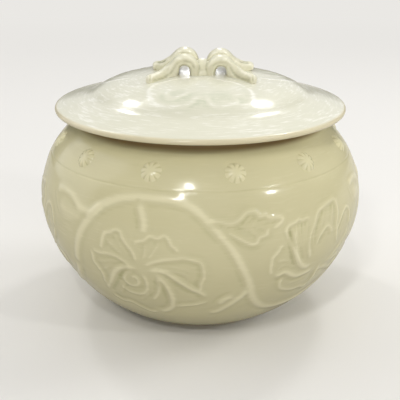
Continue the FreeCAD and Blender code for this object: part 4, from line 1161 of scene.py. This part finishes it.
# %% [markdown]
# ## Where the pot stands, and where the lid sits
# The foot ring is glazed on its sides, but its underside is wiped bare, so that it doesn't stick to
# the kiln shelf. Iron in the bare clay turns it orange-brown. The collar under the lid drops into
# the mouth and keeps the lid in its place. Both are turned forms, so the wheel makes them too.

# %% Foot ring and collar
FOOT_RADIUS, FOOT_WIDTH, FOOT_DRAFT, FOOT_ROUND = 35.37, 5.0, 0.8, 0.9
COLLAR_RADIUS, COLLAR_WALL, COLLAR_DEPTH, COLLAR_DRAFT, COLLAR_ROUND = 50.3, 3.0, 8.0, 0.4, 0.8
FOOT_STEPS_ROUND, COLLAR_STEPS_ROUND = 192, 240
BARE_BELOW, GLAZED_ABOVE = 0.7 * MM, 1.1 * MM
SPECK_WIDTH = 1.2 * MM
CLAY_ROUGHNESS = 0.85


def ring_section(inner_high, inner_low, outer_low, outer_high, rounding):
    """A ring's section, from its inner top corner down, round both lower corners and up."""
    low = inner_low[1]
    return [
        inner_high,
        *round_corner((inner_low[0], low + rounding), inner_low, (inner_low[0] + rounding, low)),
        (inner_low[0] + 0.5 * (outer_low[0] - inner_low[0]), low),
        *round_corner((outer_low[0] - rounding, low), outer_low, (outer_low[0], low + rounding)),
        outer_high, inner_high,
    ]


def make_foot_material():
    """The bowl's glaze, and below it bare toasted clay with small iron specks."""
    paint = BOWL_GLAZE.copy()
    paint.name = "celadon_and_bare_clay_foot"
    add = partial(add_node, paint.node_tree)
    shader = paint.node_tree.nodes["Principled BSDF"]
    glaze = shader.inputs["Base Color"].links[0].from_socket
    place = add("ShaderNodeTexCoord").outputs["Object"]
    parts = add(SEPARATE, [place]).outputs
    bare = add(MAP_RANGE, [parts["Z"], BARE_BELOW, GLAZED_ABOVE, 1.0, 0.0])
    specks = add(NOISE, {"Vector": place, "Scale": 1.0 / SPECK_WIDTH, "Detail": 3.0})
    clay = add(MIX, {0: specks, "A": linear("b98a5f"), "B": linear("cfae88")}, data_type="RGBA")
    colour = add(MIX, {0: bare, "A": glaze, "B": clay.outputs["Result"]}, data_type="RGBA")
    rough = add(MAP_RANGE, [bare, 0.0, 1.0, GLAZE_ROUGHNESS, CLAY_ROUGHNESS])
    feed(shader, {"Base Color": colour.outputs["Result"], "Roughness": rough})
    return paint


FOOT_GLAZE = make_foot_material()
foot = turned_piece("turned_foot_ring", ring_section(
    (FOOT_RADIUS - FOOT_WIDTH - FOOT_DRAFT, UNDERSIDE), (FOOT_RADIUS - FOOT_WIDTH, 0.0),
    (FOOT_RADIUS, 0.0), (FOOT_RADIUS + FOOT_DRAFT, UNDERSIDE), FOOT_ROUND),
    FOOT_STEPS_ROUND, FOOT_GLAZE)
settle(foot)
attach(foot, "bowl")
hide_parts("foot_ring")

collar_top = LID_HEIGHT - BRIM_EDGE
collar_low = collar_top - COLLAR_DEPTH
collar = turned_piece("turned_lid_collar", ring_section(
    (COLLAR_RADIUS - COLLAR_WALL, collar_top), (COLLAR_RADIUS - COLLAR_WALL, collar_low),
    (COLLAR_RADIUS - COLLAR_DRAFT, collar_low), (COLLAR_RADIUS, collar_top), COLLAR_ROUND),
    COLLAR_STEPS_ROUND, LID_GLAZE)
settle(collar)
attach(collar, "lid")
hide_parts("lid_collar")
